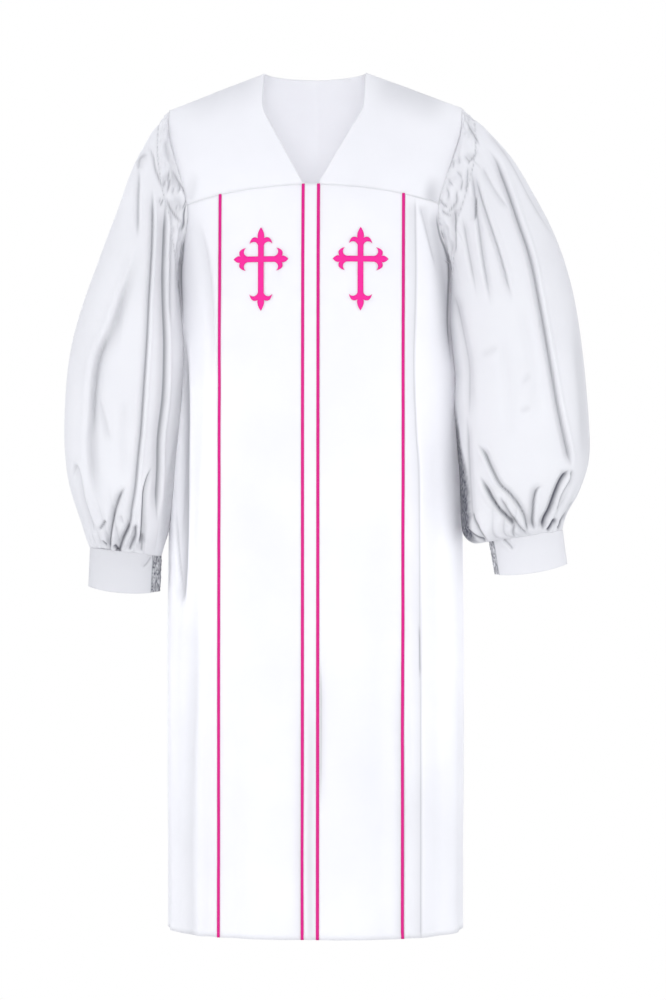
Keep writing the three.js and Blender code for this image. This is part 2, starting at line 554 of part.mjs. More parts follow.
// A sleeve section is an oval through its outer and inner points. It starts as the armhole.
function sleevePoint(sections, folds, turn, t) {
  const get = (column) => read(sections, "at", column, t);
  const up = Math.cos(turn * degrees);
  const out = Math.sin(turn * degrees);
  const face = out >= 0 ? "front" : "back";
  const across = power(up, 2 / SLEEVE_OVAL_POWER);
  const forward = power(out, 2 / SLEEVE_OVAL_POWER) * get(face);
  const oval = new THREE.Vector3(
    mix(get("inX"), get("outX"), (1 + across) / 2),
    get("middle") - forward,
    mix(get("inZ"), get("outZ"), (1 + across) / 2),
  );
  const start = armholePoint(turn).addScaledVector(awayFromBody(turn), SLEEVE_GAP);
  const at = start.lerp(oval, clamp(get("oval"), 0, 1));
  const away = new THREE.Vector3(
    (get("outX") - get("inX")) * up,
    -out * 2 * get(face),
    (get("outZ") - get("inZ")) * up,
  ).normalize();
  let lift = read(GATHERS, "at", "head", t) * Math.cos(turn * HEAD_GATHERS * degrees);
  lift += read(GATHERS, "at", "cuff", t) * Math.cos(turn * CUFF_GATHERS * degrees);
  lift *= 1 + UNEVEN.share * Math.sin(turn * UNEVEN.swings * degrees);
  for (const fold of folds) {
    if (fold.face !== face) continue;
    const along = (t - fold.from) / (fold.to - fold.from);
    if (along < 0 || along > 1) continue;
    lift += fold.depth * bump(up - through(fold.across, along), fold.width) * foldEnds(along);
  }
  at.addScaledVector(away, lift);
  return clearOfBody(at, SLEEVE_CLEARANCE * ease(t / CLEAR_FROM));
}

function sleeve(name, side, sections, folds) {
  const point = (turn, t) => {
    const at = sleevePoint(sections, folds, turn, t);
    return new THREE.Vector3(side * at.x, at.y, at.z);
  };
  const us = steps(SLEEVE_COLUMNS, 0, 360).slice(0, -1);
  const awayAt = (turn) => awayFromBody(turn).multiply(new THREE.Vector3(side, 1, 1));
  const outwards = (at, t) => {
    const get = (column) => read(sections, "at", column, t);
    return new THREE.Vector3(
      at.x - side * (get("outX") + get("inX")) / 2,
      at.y - get("middle"),
      at.z - (get("outZ") + get("inZ")) / 2,
    );
  };
  const shape = { name, point, us, vs: SLEEVE_LEVELS, wall: CLOTH, outwards, awayAt };
  return cloth({ ...shape, ring: true, material: whiteCloth });
}

function cuff(name, side, sections, lower) {
  const upper = sections[sections.length - 1];
  const point = (turn, v) => {
    const get = (column) => mix(upper[column], lower[column], v);
    const across = power(Math.cos(turn * degrees), 2 / SLEEVE_OVAL_POWER);
    const out = power(Math.sin(turn * degrees), 2 / SLEEVE_OVAL_POWER);
    const face = out >= 0 ? "front" : "back";
    return new THREE.Vector3(
      side * mix(get("inX"), get("outX"), (1 + across) / 2),
      get("middle") - out * get(face),
      mix(get("inZ"), get("outZ"), (1 + across) / 2) - 2 * SEAM - CUFF_DROOP * v * out * out,
    );
  };
  const [us, vs] = [steps(CUFF_COLUMNS, 0, 360).slice(0, -1), steps(CUFF_ROWS)];
  const outwards = (at) => {
    const centreX = side * (upper.outX + upper.inX) / 2;
    return new THREE.Vector3(at.x - centreX, at.y - upper.middle, 0);
  };
  return cloth({ name, point, us, vs, wall: CUFF_CLOTH, outwards, ring: true, material: whiteCloth });
}

// The outline of a cross whose arms end in a pointed petal between two that curl back.
function crossOutline() {
  const outline = [];
  const arms = [
    { length: CROSS.side, petal: CROSS.sidePetal },
    { length: CROSS.up, petal: CROSS.endPetal },
    { length: CROSS.side, petal: CROSS.sidePetal },
    { length: CROSS.down, petal: CROSS.endPetal },
  ];
  arms.forEach(({ length, petal }, quarter) => {
    const notch = length - petal;
    const half = [new THREE.Vector2(CROSS.bar / 2, CROSS.bar / 2)];
    let from = new THREE.Vector2(notch - CROSS.root, CROSS.bar / 2);
    half.push(from);
    for (const row of PETALS) {
      const bend = new THREE.Vector2(notch + row.bendAlong, row.bendAcross);
      const to = new THREE.Vector2(notch + row.along, row.across);
      half.push(...new THREE.QuadraticBezierCurve(from, bend, to).getPoints(CURVE_STEPS).slice(1));
      from = to;
    }
    const bend = new THREE.Vector2(notch + POINTED_BEND.along * petal, POINTED_BEND.across);
    const tip = new THREE.Vector2(length, 0);
    half.push(...new THREE.QuadraticBezierCurve(from, bend, tip).getPoints(CURVE_STEPS).slice(1));
    const turned = (p) => p.clone().rotateAround(new THREE.Vector2(), (quarter * Math.PI) / 2);
    outline.push(...half.map((p) => turned(new THREE.Vector2(p.x, -p.y))));
    outline.push(...half.slice(1, -1).reverse().map(turned));
  });
  return outline;
}

function cross(name, side) {
  const outline = crossOutline();
  const onPanel = (p, lift) => {
    const z = CROSS.z + p.y;
    return bodyPoint(roundOf(side * CROSS.x + p.x, z), z, lift);
  };
  const count = outline.length;
  const points = [CROSS.proud, CROSS.under].flatMap((lift) => outline.map((p) => onPanel(p, lift)));
  const index = [];
  for (const [a, b, c] of THREE.ShapeUtils.triangulateShape(outline, []))
    index.push(a, b, c, count + c, count + b, count + a);
  for (let i = 0; i < count; i++) {
    const next = (i + 1) % count;
    index.push(i, count + i, count + next, i, count + next, next);
  }
  return mesh(name, points, index, pinkTrim);
}

const robe = new THREE.Group();
const panelStart = INNER_PIPING_X + PIPING_WIDTH / 2 + SEAM;
const panelEnd = OUTER_PIPING_X - PIPING_WIDTH / 2 - SEAM;
const placketHalf = INNER_PIPING_X - PIPING_WIDTH / 2 - SEAM;
robe.add(backYoke("back_yoke"), back("back"));
const overClosing = { lift: PLACKET_LIFT, material: whiteCloth };
robe.add(hangingStrip("placket", -placketHalf, placketHalf, PLACKET_COLUMNS, overClosing));
for (const [hand, side] of [["left", 1], ["right", -1]]) {
  robe.add(frontYoke(`front_yoke_${hand}`, side));
  const panelEnds = [side * panelStart, side * panelEnd];
  robe.add(hangingStrip(`front_panel_${hand}`, ...panelEnds, PANEL_COLUMNS, { material: whiteCloth }));
  robe.add(sideFront(`side_front_${hand}`, side));
  robe.add(sleeve(`sleeve_${hand}`, side, SLEEVE_SECTIONS[hand], SLEEVE_FOLDS[hand]));
  robe.add(cuff(`cuff_${hand}`, side, SLEEVE_SECTIONS[hand], CUFF_EDGES[hand]));
  for (const [place, x] of [["inner", INNER_PIPING_X], ["outer", OUTER_PIPING_X]]) {
    const ends = [side * x - PIPING_WIDTH / 2, side * x + PIPING_WIDTH / 2];
    const round = { wall: PIPING_WALL, crown: PIPING_PROUD, material: pinkTrim };
    robe.add(hangingStrip(`piping_${place}_${hand}`, ...ends, PIPING_COLUMNS, round));
  }
  robe.add(cross(`cross_${hand}`, side));
}
export default robe;
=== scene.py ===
# %% [markdown]
# # A white pulpit robe
# This lesson dresses the solids of a pulpit robe in cloth. The robe hangs as it is worn, but it is
# hollow: a thin shell of white polyester with yokes over the shoulders, panels that hang from
# them, two full sleeves that are shirred at the head and gathered into a cuff, pink piping and
# two pink crosses. The frame that is loaded here fixes every size, and nothing in it is moved.

# %% Load the fixed frame
import math

import bmesh
import bpy
import numpy as np
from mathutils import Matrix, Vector


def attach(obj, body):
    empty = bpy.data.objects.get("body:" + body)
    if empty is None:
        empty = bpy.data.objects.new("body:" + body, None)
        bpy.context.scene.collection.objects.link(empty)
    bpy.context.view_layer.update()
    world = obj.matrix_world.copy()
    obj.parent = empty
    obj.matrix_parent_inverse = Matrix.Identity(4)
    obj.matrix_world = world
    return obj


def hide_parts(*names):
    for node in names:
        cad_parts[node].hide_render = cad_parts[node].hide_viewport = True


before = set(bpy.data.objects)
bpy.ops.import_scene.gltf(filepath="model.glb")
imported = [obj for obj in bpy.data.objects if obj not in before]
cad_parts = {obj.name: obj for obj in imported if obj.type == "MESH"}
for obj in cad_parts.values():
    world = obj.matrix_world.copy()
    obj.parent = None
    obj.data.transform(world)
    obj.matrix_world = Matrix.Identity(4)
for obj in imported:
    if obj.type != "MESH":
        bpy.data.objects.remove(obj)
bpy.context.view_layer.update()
print("solids to dress:", len(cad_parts))

# %% [markdown]
# ## The camera
# The robe was photographed from its own middle height by a level camera a few metres away, turned
# a little to one side. Creases are easiest to place where they are seen, so this step also says
# which pixel of the picture shows a point of the robe. Lengths in this script are millimetres, as
# on a cutting list, and MM turns them into Blender's metres when a mesh is made.

# %% The camera
MM = 0.001
CAMERA_DISTANCE = 4500
CAMERA_HEIGHT = -624.65
CAMERA_TURN = math.radians(3.3)
PICTURE_HEIGHT = 1000  # pixels
PICTURE_CENTRE_X = 333
ROBE_CENTRE_X = 315.5  # the pixel column that shows the robe's own middle
MM_PER_PIXEL = 1.55

lens = bpy.data.cameras.new("camera")
lens.sensor_fit = "VERTICAL"
lens.lens = lens.sensor_height * CAMERA_DISTANCE / (PICTURE_HEIGHT * MM_PER_PIXEL)
lens.shift_x = (PICTURE_CENTRE_X - ROBE_CENTRE_X) / PICTURE_HEIGHT
camera = bpy.data.objects.new("camera", lens)
camera.location = (
    math.sin(CAMERA_TURN) * CAMERA_DISTANCE * MM,
    -math.cos(CAMERA_TURN) * CAMERA_DISTANCE * MM,
    CAMERA_HEIGHT * MM,
)
camera.rotation_euler = (math.radians(90), 0, CAMERA_TURN)
bpy.context.scene.collection.objects.link(camera)
bpy.context.scene.camera = camera


def seen_at(points):
    """The pixels of the picture that show some points of the robe."""
    x, y, z = np.moveaxis(points, -1, 0)
    across = x * math.cos(CAMERA_TURN) + y * math.sin(CAMERA_TURN)
    beyond = y * math.cos(CAMERA_TURN) - x * math.sin(CAMERA_TURN)
    pixels_per_mm = CAMERA_DISTANCE / (CAMERA_DISTANCE + beyond) / MM_PER_PIXEL
    right = ROBE_CENTRE_X + across * pixels_per_mm
    down = PICTURE_HEIGHT / 2 + (CAMERA_HEIGHT - z) * pixels_per_mm
    return np.stack([right, down], -1)


print("focal length in mm:", round(lens.lens, 2))

# %% [markdown]
# ## The cut of the body
# A garment is drafted from a few body measures. These are the same measures that the solids have:
# how wide and deep the robe is at each height, the line of the shoulders, the V of the neck, the
# yoke seams and the armholes. A short table holds one row for each height, and a smooth curve is
# read between its rows.

# %% Measures and how to read them
SEAM = 0.3
HEM_Z = -1284
NECK_HALF, NECK_Z = 78, 36
SHOULDER_SLOPE, NECK_RISE = 0.375, 0.975
ARCH_Z, ARCH_POWER, OVAL_POWER = -190, 1.7, 2.4
V_HALF, V_FOOT_Z, V_SLOPE, V_SOFTNESS = 12, -145.5, 0.55, 3
UNDERARM_Z = -262
INNER_PIPING_X, OUTER_PIPING_X, PIPING_WIDTH = 11.5, 139, 4.4
FRONT_SEAM = {"centre": -147, "drop": 26, "at": 195}
BACK_SEAM = {"centre": -132, "drop": 14, "at": 195}


def table(columns, *rows):
    """A short table, as one array for each named column."""
    return dict(zip(columns.split(), np.array(rows, float).T))


BODY = table(
    "z half front back",
    (HEM_Z, 229, 153, 150),
    (-1000, 229, 148, 138),
    (-700, 228, 142, 126),
    (-450, 218, 137, 119),
    (-262, 212, 131, 113),
    (-190, 214, 125, 110),
    (-100, 228, 120, 108),
    (-30, 238, 116, 106),
    (40, 240, 112, 104),
)
ARMHOLE = table(
    "z front back",
    (-262, 212, 212),
    (-255, 209.3, 209.3),
    (-240, 203, 204.5),
    (-210, 194, 200),
    (-178, 191, 200),
    (-137, 201, 208),
    (-96, 214, 217),
    (-60, 224, 224),
    (-19, 226, 226),
)
# Folds of the body: bearing from the centre front, depth, width in degrees, the heights at which
# a fold begins, is full and ends, and how much of it is left at its end.
BODY_FOLDS = table(
    "round depth width top full end keep",
    (37.5, -2.5, 3.2, -175, -900, HEM_Z, 1),
    (43.5, 2.5, 4, -170, -700, HEM_Z, 1),
    (55, -3, 5, -300, -800, HEM_Z, 0.9),
    (68, 3, 6, -500, -950, HEM_Z, 1),
    (80, -3, 5, -700, -1000, HEM_Z, 1),
    (24, -3, 4.5, -700, -1150, HEM_Z, 0.8),
    (0, -4, 4.2, -420, -900, HEM_Z, 1),
    (-26, -4, 4, -760, -1180, HEM_Z, 1),
    (-38, -2.5, 3, -175, -950, HEM_Z, 1),
    (-44, 3, 3.6, -170, -700, HEM_Z, 1),
    (-62, -5, 3.6, -330, -600, -800, 0.2),
    (-70, 3, 4, -420, -640, -900, 0.5),
    (-79, -3, 5, -700, -1000, HEM_Z, 1),
    (101, -7, 5, -560, -1000, HEM_Z, 1),
    (113, 6, 5, -300, -900, HEM_Z, 1),
    (126, -8, 5, -180, -800, HEM_Z, 1),
    (138, 7, 5, -160, -1000, HEM_Z, 1),
    (150, -9, 5, -150, -900, HEM_Z, 1),
    (162, 7, 5, -150, -700, HEM_Z, 0.8),
    (173, -8, 4.5, -145, -1000, HEM_Z, 1),
    (-175, 6, 4.5, -145, -800, HEM_Z, 1),
    (-164, -9, 5, -150, -900, HEM_Z, 1),
    (-152, 7, 5, -150, -1050, HEM_Z, 1),
    (-139, -8, 5, -160, -750, HEM_Z, 0.8),
    (-127, 7, 5, -180, -900, HEM_Z, 1),
    (-114, -7, 5, -300, -1000, HEM_Z, 1),
    (-102, 5, 5, -560, -1000, HEM_Z, 1),
)


def mix(a, b, share):
    return a + (b - a) * share


def ease(share):
    share = np.clip(share, 0, 1)
    return share * share * (3 - 2 * share)


def power(value, exponent):
    return np.sign(value) * np.abs(value) ** exponent


def read(rows, key, column, place):
    """Reads a column at places between its rows, along a smooth curve."""
    at, values = rows[key], rows[column]
    chords = np.diff(values) / np.diff(at)
    inner = (values[2:] - values[:-2]) / (at[2:] - at[:-2])
    slopes = np.concatenate([chords[:1], inner, chords[-1:]])
    row = np.clip(np.searchsorted(at, place, side="right") - 1, 0, len(at) - 2)
    span = at[row + 1] - at[row]
    share = (place - at[row]) / span
    s = np.clip(share, 0, 1)
    curve = values[row] * (1 + 2 * s) * (1 - s) ** 2 + values[row + 1] * s * s * (3 - 2 * s)
    curve += span * (slopes[row] * s * (1 - s) ** 2 - slopes[row + 1] * s * s * (1 - s))
    return curve + span * (share - s) * np.where(share < 0, slopes[row], slopes[row + 1])


print("body rows:", len(BODY["z"]), "body folds:", len(BODY_FOLDS["round"]))

# %% [markdown]
# The body is an oval with squarish corners, and above the chest its front and back arch over to
# meet at the shoulder line. A point of it is found from a bearing and a height, or, on the yokes,
# from how far across it is and how far it has climbed over the shoulder.

# %% Points of the body
def half_at(z):
    return read(BODY, "z", "half", z)


def ridge_z(x):
    """The shoulder line, and the height that the yokes would reach inside the neck opening."""
    rise = np.where(np.abs(x) < NECK_HALF, NECK_RISE, SHOULDER_SLOPE)
    return NECK_Z + (NECK_HALF - np.abs(x)) * rise


def seam_z(seam, x):
    return seam["centre"] - seam["drop"] * (x / seam["at"]) ** 2


def neck_x(z):
    """Half the width of the neck opening: straight down from the shoulder, then a V."""
    slant = V_HALF + V_SLOPE * (z - V_FOOT_Z)
    return -V_SOFTNESS * np.log(np.exp(-NECK_HALF / V_SOFTNESS) + np.exp(-slant / V_SOFTNESS))


def round_of(x, z):
    """The bearing, in degrees, of a point of the front that is x from the centre."""
    share = np.clip(np.abs(x) / half_at(z), 0, 1)
    return np.degrees(np.arcsin(share ** (OVAL_POWER / 2))) * np.sign(x)


def body_fold(bearing, z):
    """How far the folds of the body push it out at a bearing and a height."""
    height = np.zeros(np.broadcast(bearing, z).shape)
    for values in zip(*BODY_FOLDS.values()):
        row = dict(zip(BODY_FOLDS, values))
        away = np.abs((bearing - row["round"] + 180) % 360 - 180)
        rise = ease((row["top"] - z) / (row["top"] - row["full"]))
        fade = mix(1, row["keep"], ease((row["full"] - z) / (row["full"] - row["end"])))
        height += row["depth"] * np.exp(-((away / row["width"]) ** 2)) * rise * fade
    return height


def body_depth(x, z, in_front):
    """How far the front or back stands from the middle: it arches over to the shoulder line."""
    depth = np.where(in_front, read(BODY, "z", "front", z), read(BODY, "z", "back", z))
    climb = np.clip((z - ARCH_Z) / (ridge_z(x) - ARCH_Z), 0, 1)
    return depth * (1 - climb**ARCH_POWER) ** (1 / ARCH_POWER)


def body_point(bearing, z, lift=0):
    """A point of the body or, with a lift in mm, a point over it."""
    sine, cosine = np.sin(np.radians(bearing)), np.cos(np.radians(bearing))
    half = half_at(z)
    x = half * power(sine, 2 / OVAL_POWER)
    depth = np.maximum(body_depth(x, z, cosine >= 0), 0.01)
    y = -depth * power(cosine, 2 / OVAL_POWER)
    normal_x = power(x / half, OVAL_POWER - 1) / half
    normal_y = power(y / depth, OVAL_POWER - 1) / depth
    out = (lift + body_fold(bearing, z)) / np.hypot(normal_x, normal_y)
    return np.stack(np.broadcast_arrays(x + normal_x * out, y + normal_y * out, z), -1)


def yoke_point(x, climb, in_front):
    """A point of a yoke: climb goes from 0 at the arch's foot to 90 degrees at the shoulder."""
    z = ARCH_Z + (ridge_z(x) - ARCH_Z) * power(np.sin(climb), 2 / ARCH_POWER)
    side = np.clip(np.abs(x) / half_at(z), 0, 1)
    depth = read(BODY, "z", "front" if in_front else "back", z)
    depth = depth * (1 - side**OVAL_POWER) ** (1 / OVAL_POWER)
    y = depth * power(np.cos(climb), 2 / ARCH_POWER) * (-1 if in_front else 1)
    return np.stack(np.broadcast_arrays(x, y, z), -1)


def climb_to(x, z):
    """The climb at which a yoke reaches a height."""
    return np.arcsin(np.clip((z - ARCH_Z) / (ridge_z(x) - ARCH_Z), 0, 1) ** (ARCH_POWER / 2))


def climb_to_ridge(x, in_front):
    """The climb just short of the shoulder seam."""
    top = ridge_z(x)
    side = np.clip(np.abs(x) / half_at(top), 0, 0.99)
    depth = read(BODY, "z", "front" if in_front else "back", top)
    depth = depth * (1 - side**OVAL_POWER) ** (1 / OVAL_POWER)
    return math.pi / 2 - (SEAM / 2 / depth) ** (ARCH_POWER / 2)


print("front seam at the centre and the side:", seam_z(FRONT_SEAM, 0), seam_z(FRONT_SEAM, 195))

# %% [markdown]
# ## Creases drawn one by one
# Cloth folds where it is pulled or pushed together, and no two folds are alike. A simulation gives
# believable folds, but never the ones in the picture, so the main ones are drawn one by one: each
# is a path over the picture, with a steep side, a soft side and a rolled edge beside the steep one.
# A path is written as the pixels that it passes, and a row of a list then gives the crease's depth
# and the widths of its steep and soft side in millimetres. The back of a piece has its own lists,
# whose paths are read through the front, as if the cloth were glass.

# %% How a crease bends the cloth
PATH_STEPS = 8
CREASE_REACH = 30  # pixels on either side of a path
LINE_HALF = 1.5  # mm, half the width of the painted shadow line where the cloth closes on itself


def fold(path, depth, steep=2.5, soft=8, leans=1, **more):
    """One row of a list of creases."""
    pixels = [[float(number) for number in pixel.split(",")] for pixel in path.split()]
    return {"path": pixels, "depth": depth, "steep": steep, "soft": soft, "leans": leans, **more}


def smooth_path(path):
    """A curve through the given points, as short straight pieces."""
    points = np.array(path, float)
    before = np.vstack([2 * points[0] - points[1], points, 2 * points[-1] - points[-2]])
    curve = []
    for a, b, c, d in zip(before, before[1:], before[2:], before[3:]):
        for s in np.arange(PATH_STEPS) / PATH_STEPS:
            turn = (c - a) * s + (2 * a - 5 * b + 4 * c - d) * s**2 + (3 * b - a - 3 * c + d) * s**3
            curve.append(b + turn / 2)
    return np.array(curve + [points[-1]])


def along_path(at, path):
    """How far each point lies to the right of a path, in mm, and how far along it, from 0 to 1."""
    curve = smooth_path(path)
    lengths = np.linalg.norm(np.diff(curve, axis=0), axis=1)
    starts = np.concatenate([[0], np.cumsum(lengths)])
    nearest = np.full(at.shape[:-1], np.inf)
    side = np.zeros(at.shape[:-1])
    along = np.zeros(at.shape[:-1])
    for i, length in enumerate(lengths):
        way = (curve[i + 1] - curve[i]) / length
        away = at - curve[i]
        reach = np.clip(away @ way, 0, length)
        distance = np.linalg.norm(away - reach[..., None] * way, axis=-1)
        closer = distance < nearest
        nearest = np.where(closer, distance, nearest)
        side = np.where(closer, np.sign(away[..., 0] * way[1] - away[..., 1] * way[0]), side)
        along = np.where(closer, (starts[i] + reach) / starts[-1], along)
    return nearest * side * MM_PER_PIXEL, along


print("a path of 3 pixels becomes", len(smooth_path(fold("0,0 1,4 0,9", 1)["path"])), "points")

# %% [markdown]
# Across its path a crease is a trough with one steep and one soft side. It fades at both ends, and
# shade is painted at its foot, where little light gets in. `leans` is 1 where the steep side is on
# the right, `dark` is the painted shade of the line at the foot, and `veil` the painted shade of
# the soft side.

# %% The form of a crease
def crease(
    at, path, depth, steep, soft, leans, roll=0.35, ends=(0.15, 0.25), dark=0.45, veil=0.1, line=LINE_HALF
):
    """The height, and the painted shade, that one crease gives to points of the picture."""
    across, along = along_path(at, path)
    across = across * leans
    fade = ease(along / ends[0]) * ease((1 - along) / ends[1])
    width = np.where(across > 0, steep, soft)
    trough = np.exp(-((across / width) ** 2))
    crest = np.exp(-(((across - 2.6 * steep) / (1.5 * steep)) ** 2))
    shadow = dark * np.exp(-((across / line) ** 2))
    return depth * fade * (roll * crest - trough), fade * np.maximum(shadow, veil * trough)


def add_creases(points, normals, rows, in_front=True):
    """Pushes points along their normals into a list's creases, on one side of a piece, and gives the shade
    painted on them.
    """
    at = seen_at(points)
    facing = ease((normals[..., 1] * (-1 if in_front else 1) - 0.02) / 0.3)
    height = np.zeros(at.shape[:-1])
    shade = np.zeros(at.shape[:-1])
    for row in rows:
        path = np.array(row["path"])
        near = (at > path.min(0) - CREASE_REACH) & (at < path.max(0) + CREASE_REACH)
        near = near.all(-1) & (facing > 0)
        more, more_painted_shade = crease(at[near], **row)
        height[near] += more * facing[near]
        shade[near] = np.maximum(shade[near], more_painted_shade * facing[near])
    return height, shade


print("a crease reaches", CREASE_REACH * MM_PER_PIXEL, "mm to either side")

# %% [markdown]
# What the lists don't give, such as the small unevenness of hanging cloth, follows smooth noise.
# Each use has its own fixed seed, so the robe comes out the same every time.

# %% Noise
def uneven(columns, rows, seed, repeats=False):
    """Smooth noise between -1 and 1 over a piece that runs from 0 to 1 each way."""
    knots = np.random.default_rng(seed).uniform(-1, 1, (rows + 3, columns + 3))
    if repeats:
        knots[:, columns:] = knots[:, :3]

    def at(u, v):
        across, down = u * columns, np.clip(v, 0, 1) * rows
        i, j = np.floor(across).astype(int), np.floor(down).astype(int)
        i = i % columns if repeats else np.clip(i, 0, columns)
        s, t = ease(across - np.floor(across)), ease(down - np.floor(down))
        top = mix(knots[j, i], knots[j, i + 1], s)
        return mix(top, mix(knots[j + 1, i], knots[j + 1, i + 1], s), t)

    return at


print("noise at the middle of a piece:", round(float(uneven(4, 4, 1)(0.5, np.array(0.5))), 3))

# %% [markdown]
# ## From a grid to cloth
# Every piece of cloth is a flat grid first, as cloth is before it is sewn. Its corners keep their
# place in the cut as UV coordinates, in metres of cloth, so the weave follows the piece wherever
# it bends. Then each point is moved to its place on the robe, a tube is closed along its seam,
# and a Solidify modifier gives the wall its thickness towards the inside.

# %% A helper that makes a piece of cloth
CLOTH = 1.1  # mm, for one or two layers with air between them


def grid_normals(points, ring=False):
    """The normals of a grid of points, pointing to one side of it."""
    if ring:
        body = points[:, :-1]
        along = np.roll(body, -1, 1) - np.roll(body, 1, 1)
        along = np.concatenate([along, along[:, :1]], 1)
    else:
        along = np.gradient(points, axis=1)
    normals = np.cross(along, np.gradient(points, axis=0))
    return normals / np.maximum(np.linalg.norm(normals, axis=-1, keepdims=True), 1e-9)


def outward_normals(points, middle, ring=False):
    """The normals that point away from a middle line, which is given for each row or as one point."""
    normals = grid_normals(points, ring)
    return normals * np.sign(np.sum(normals * (points - middle)))


def grid_mesh(points, shade, middle, cut, ring=False):
    """A mesh made of a grid of points: cut is its width and length in metres before sewing."""
    rows, columns = points.shape[0] - 1, points.shape[1] - 1
    bm = bmesh.new()
    cut_map = bm.loops.layers.uv.new("cut")
    # the crease attribute holds the painted shade of each point, which greys the cloth's colour
    painted_shade_layer = bm.verts.layers.float.new("crease")
    bmesh.ops.create_grid(bm, x_segments=columns, y_segments=rows, size=0.5, calc_uvs=True)
    for vert, at, deep in zip(bm.verts, points.reshape(-1, 3) * MM, np.ravel(shade)):
        vert.co = at
        vert[painted_shade_layer] = deep
    for face in bm.faces:
        for loop in face.loops:
            loop[cut_map].uv = (loop[cut_map].uv[0] * cut[0], loop[cut_map].uv[1] * cut[1])
    if ring:
        bm.verts.ensure_lookup_table()
        row_starts = range(0, (rows + 1) * (columns + 1), columns + 1)
        sewn = [bm.verts[start + side] for start in row_starts for side in (0, columns)]
        bmesh.ops.remove_doubles(bm, verts=sewn, dist=0.01 * MM)
    bmesh.ops.recalc_face_normals(bm, faces=bm.faces)
    inside = Vector(np.broadcast_to(middle, points.shape).reshape(-1, 3).mean(0) * MM)
    if sum((face.calc_center_median() - inside).dot(face.normal) for face in bm.faces) < 0:
        bmesh.ops.reverse_faces(bm, faces=bm.faces)
    return bm


def cloth_piece(name, points, shade, middle, cut, wall=CLOTH, ring=False):
    """A piece of cloth of a grid of points, with its thickness towards the inside."""
    piece = finished(name, grid_mesh(points, shade, middle, cut, ring))
    solidify = piece.modifiers.new("wall", "SOLIDIFY")
    solidify.thickness = wall * MM
    solidify.offset = -1
    return piece


def finished(name, bm):
    """Turns a bmesh into an object of the scene that rides on the robe's only body."""
    mesh = bpy.data.meshes.new(name)
    bm.to_mesh(mesh)
    bm.free()
    mesh.shade_smooth()
    piece = bpy.data.objects.new(name, mesh)
    bpy.context.scene.collection.objects.link(piece)
    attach(piece, "root")
    return piece


def spread(count, *stops):
    """Places from 0 to 1, unevenly spaced: a stop is a share of them and the place it reaches."""
    shares, places = np.array(stops, float).T
    return np.interp(np.linspace(0, 1, count + 1), shares, places)


print("a wall of cloth is", CLOTH, "mm thick")

# %% [markdown]
# ## The finishes
# Colours are sRGB hex values that one function turns to linear light, and one small function adds
# a node with its settings and links. The scale of a pattern is worked out from its real size: a
# noise texture has one patch in each metre at a scale of 1, and a wave texture about three waves.
# A thread is about a quarter of a millimetre thick, too fine to show here, so the weave is drawn
# three times as coarse.

# %% Helpers for materials
THREAD = 0.25  # mm
DRAWN_THREAD = 3 * THREAD
WAVE_TURNS = 20  # at a scale of 1 a wave texture repeats every 2 pi / 20 metres


def linear(hex_colour):
    parts = [int(hex_colour[i : i + 2], 16) / 255 for i in (1, 3, 5)]
    return [c / 12.92 if c <= 0.04045 else ((c + 0.055) / 1.055) ** 2.4 for c in parts] + [1]


def new_material(name):
    material = bpy.data.materials.new(name)
    material.use_nodes = True
    return material, material.node_tree.nodes["Principled BSDF"]


def add(owner, kind, settings, links=()):
    """Adds a node: settings are its own values or its sockets', links lead to its sockets."""
    made = owner.node_tree.nodes.new(kind)
    for name, value in settings.items():
        if hasattr(made, name):
            setattr(made, name, value)
        else:
            made.inputs[name].default_value = value
    for socket, source in dict(links).items():
        owner.node_tree.links.new(source, made.inputs[socket])
    return made


def wave_scale(period):
    """The scale of a wave texture that repeats every period, in mm."""
    return 2 * math.pi / (WAVE_TURNS * period * MM)


def noise_scale(patch):
    """The scale of a noise texture whose patches are about so wide, in mm."""
    return 1 / (patch * MM)


print("the weave is drawn every", DRAWN_THREAD, "mm, at a scale of", round(wave_scale(DRAWN_THREAD)))

# %% [markdown]
# ## White peachskin polyester
# The robe is a dense plain weave of polyester whose face is lightly sanded. It reads as a clean
# cool white with a fine soft tooth from the sanded threads, faint ripples where the cloth was
# pressed and packed, and only a faint gloss. Shade is painted into its colour where it closes on
# itself in a crease, and wherever else a piece carries painted shade. It is thin, so a third of
# the light passes through it.

# %% White peachskin polyester
TONE_PATCH = 143  # mm across a patch of slightly whiter cloth
PRESSED_RIPPLE = 38.5  # mm from one pressed ripple to the next
LIGHT_THROUGH = 0.34


def polyester_colour(material, place):
    """Clean white in two tones, with painted grey shade in the creases and elsewhere."""
    patches = {"Scale": noise_scale(TONE_PATCH), "Detail": 3}
    tone = add(material, "ShaderNodeTexNoise", patches, {"Vector": place})
    whites = {"data_type": "RGBA", "A": linear("#EEEEF1"), "B": linear("#F8F8FA")}
    clean = add(material, "ShaderNodeMix", whites, {"Factor": tone.outputs["Fac"]})
    # the crease attribute is painted shade: it mixes the white towards the grey of shade below
    painted_shade_amount = add(material, "ShaderNodeAttribute", {"attribute_name": "crease"})
    painted_shade_mix = add(
        material,
        "ShaderNodeMix",
        {"data_type": "RGBA", "B": linear("#565866")},
        {"Factor": painted_shade_amount.outputs["Fac"], "A": clean.outputs["Result"]},
    )
    return painted_shade_mix.outputs["Result"]


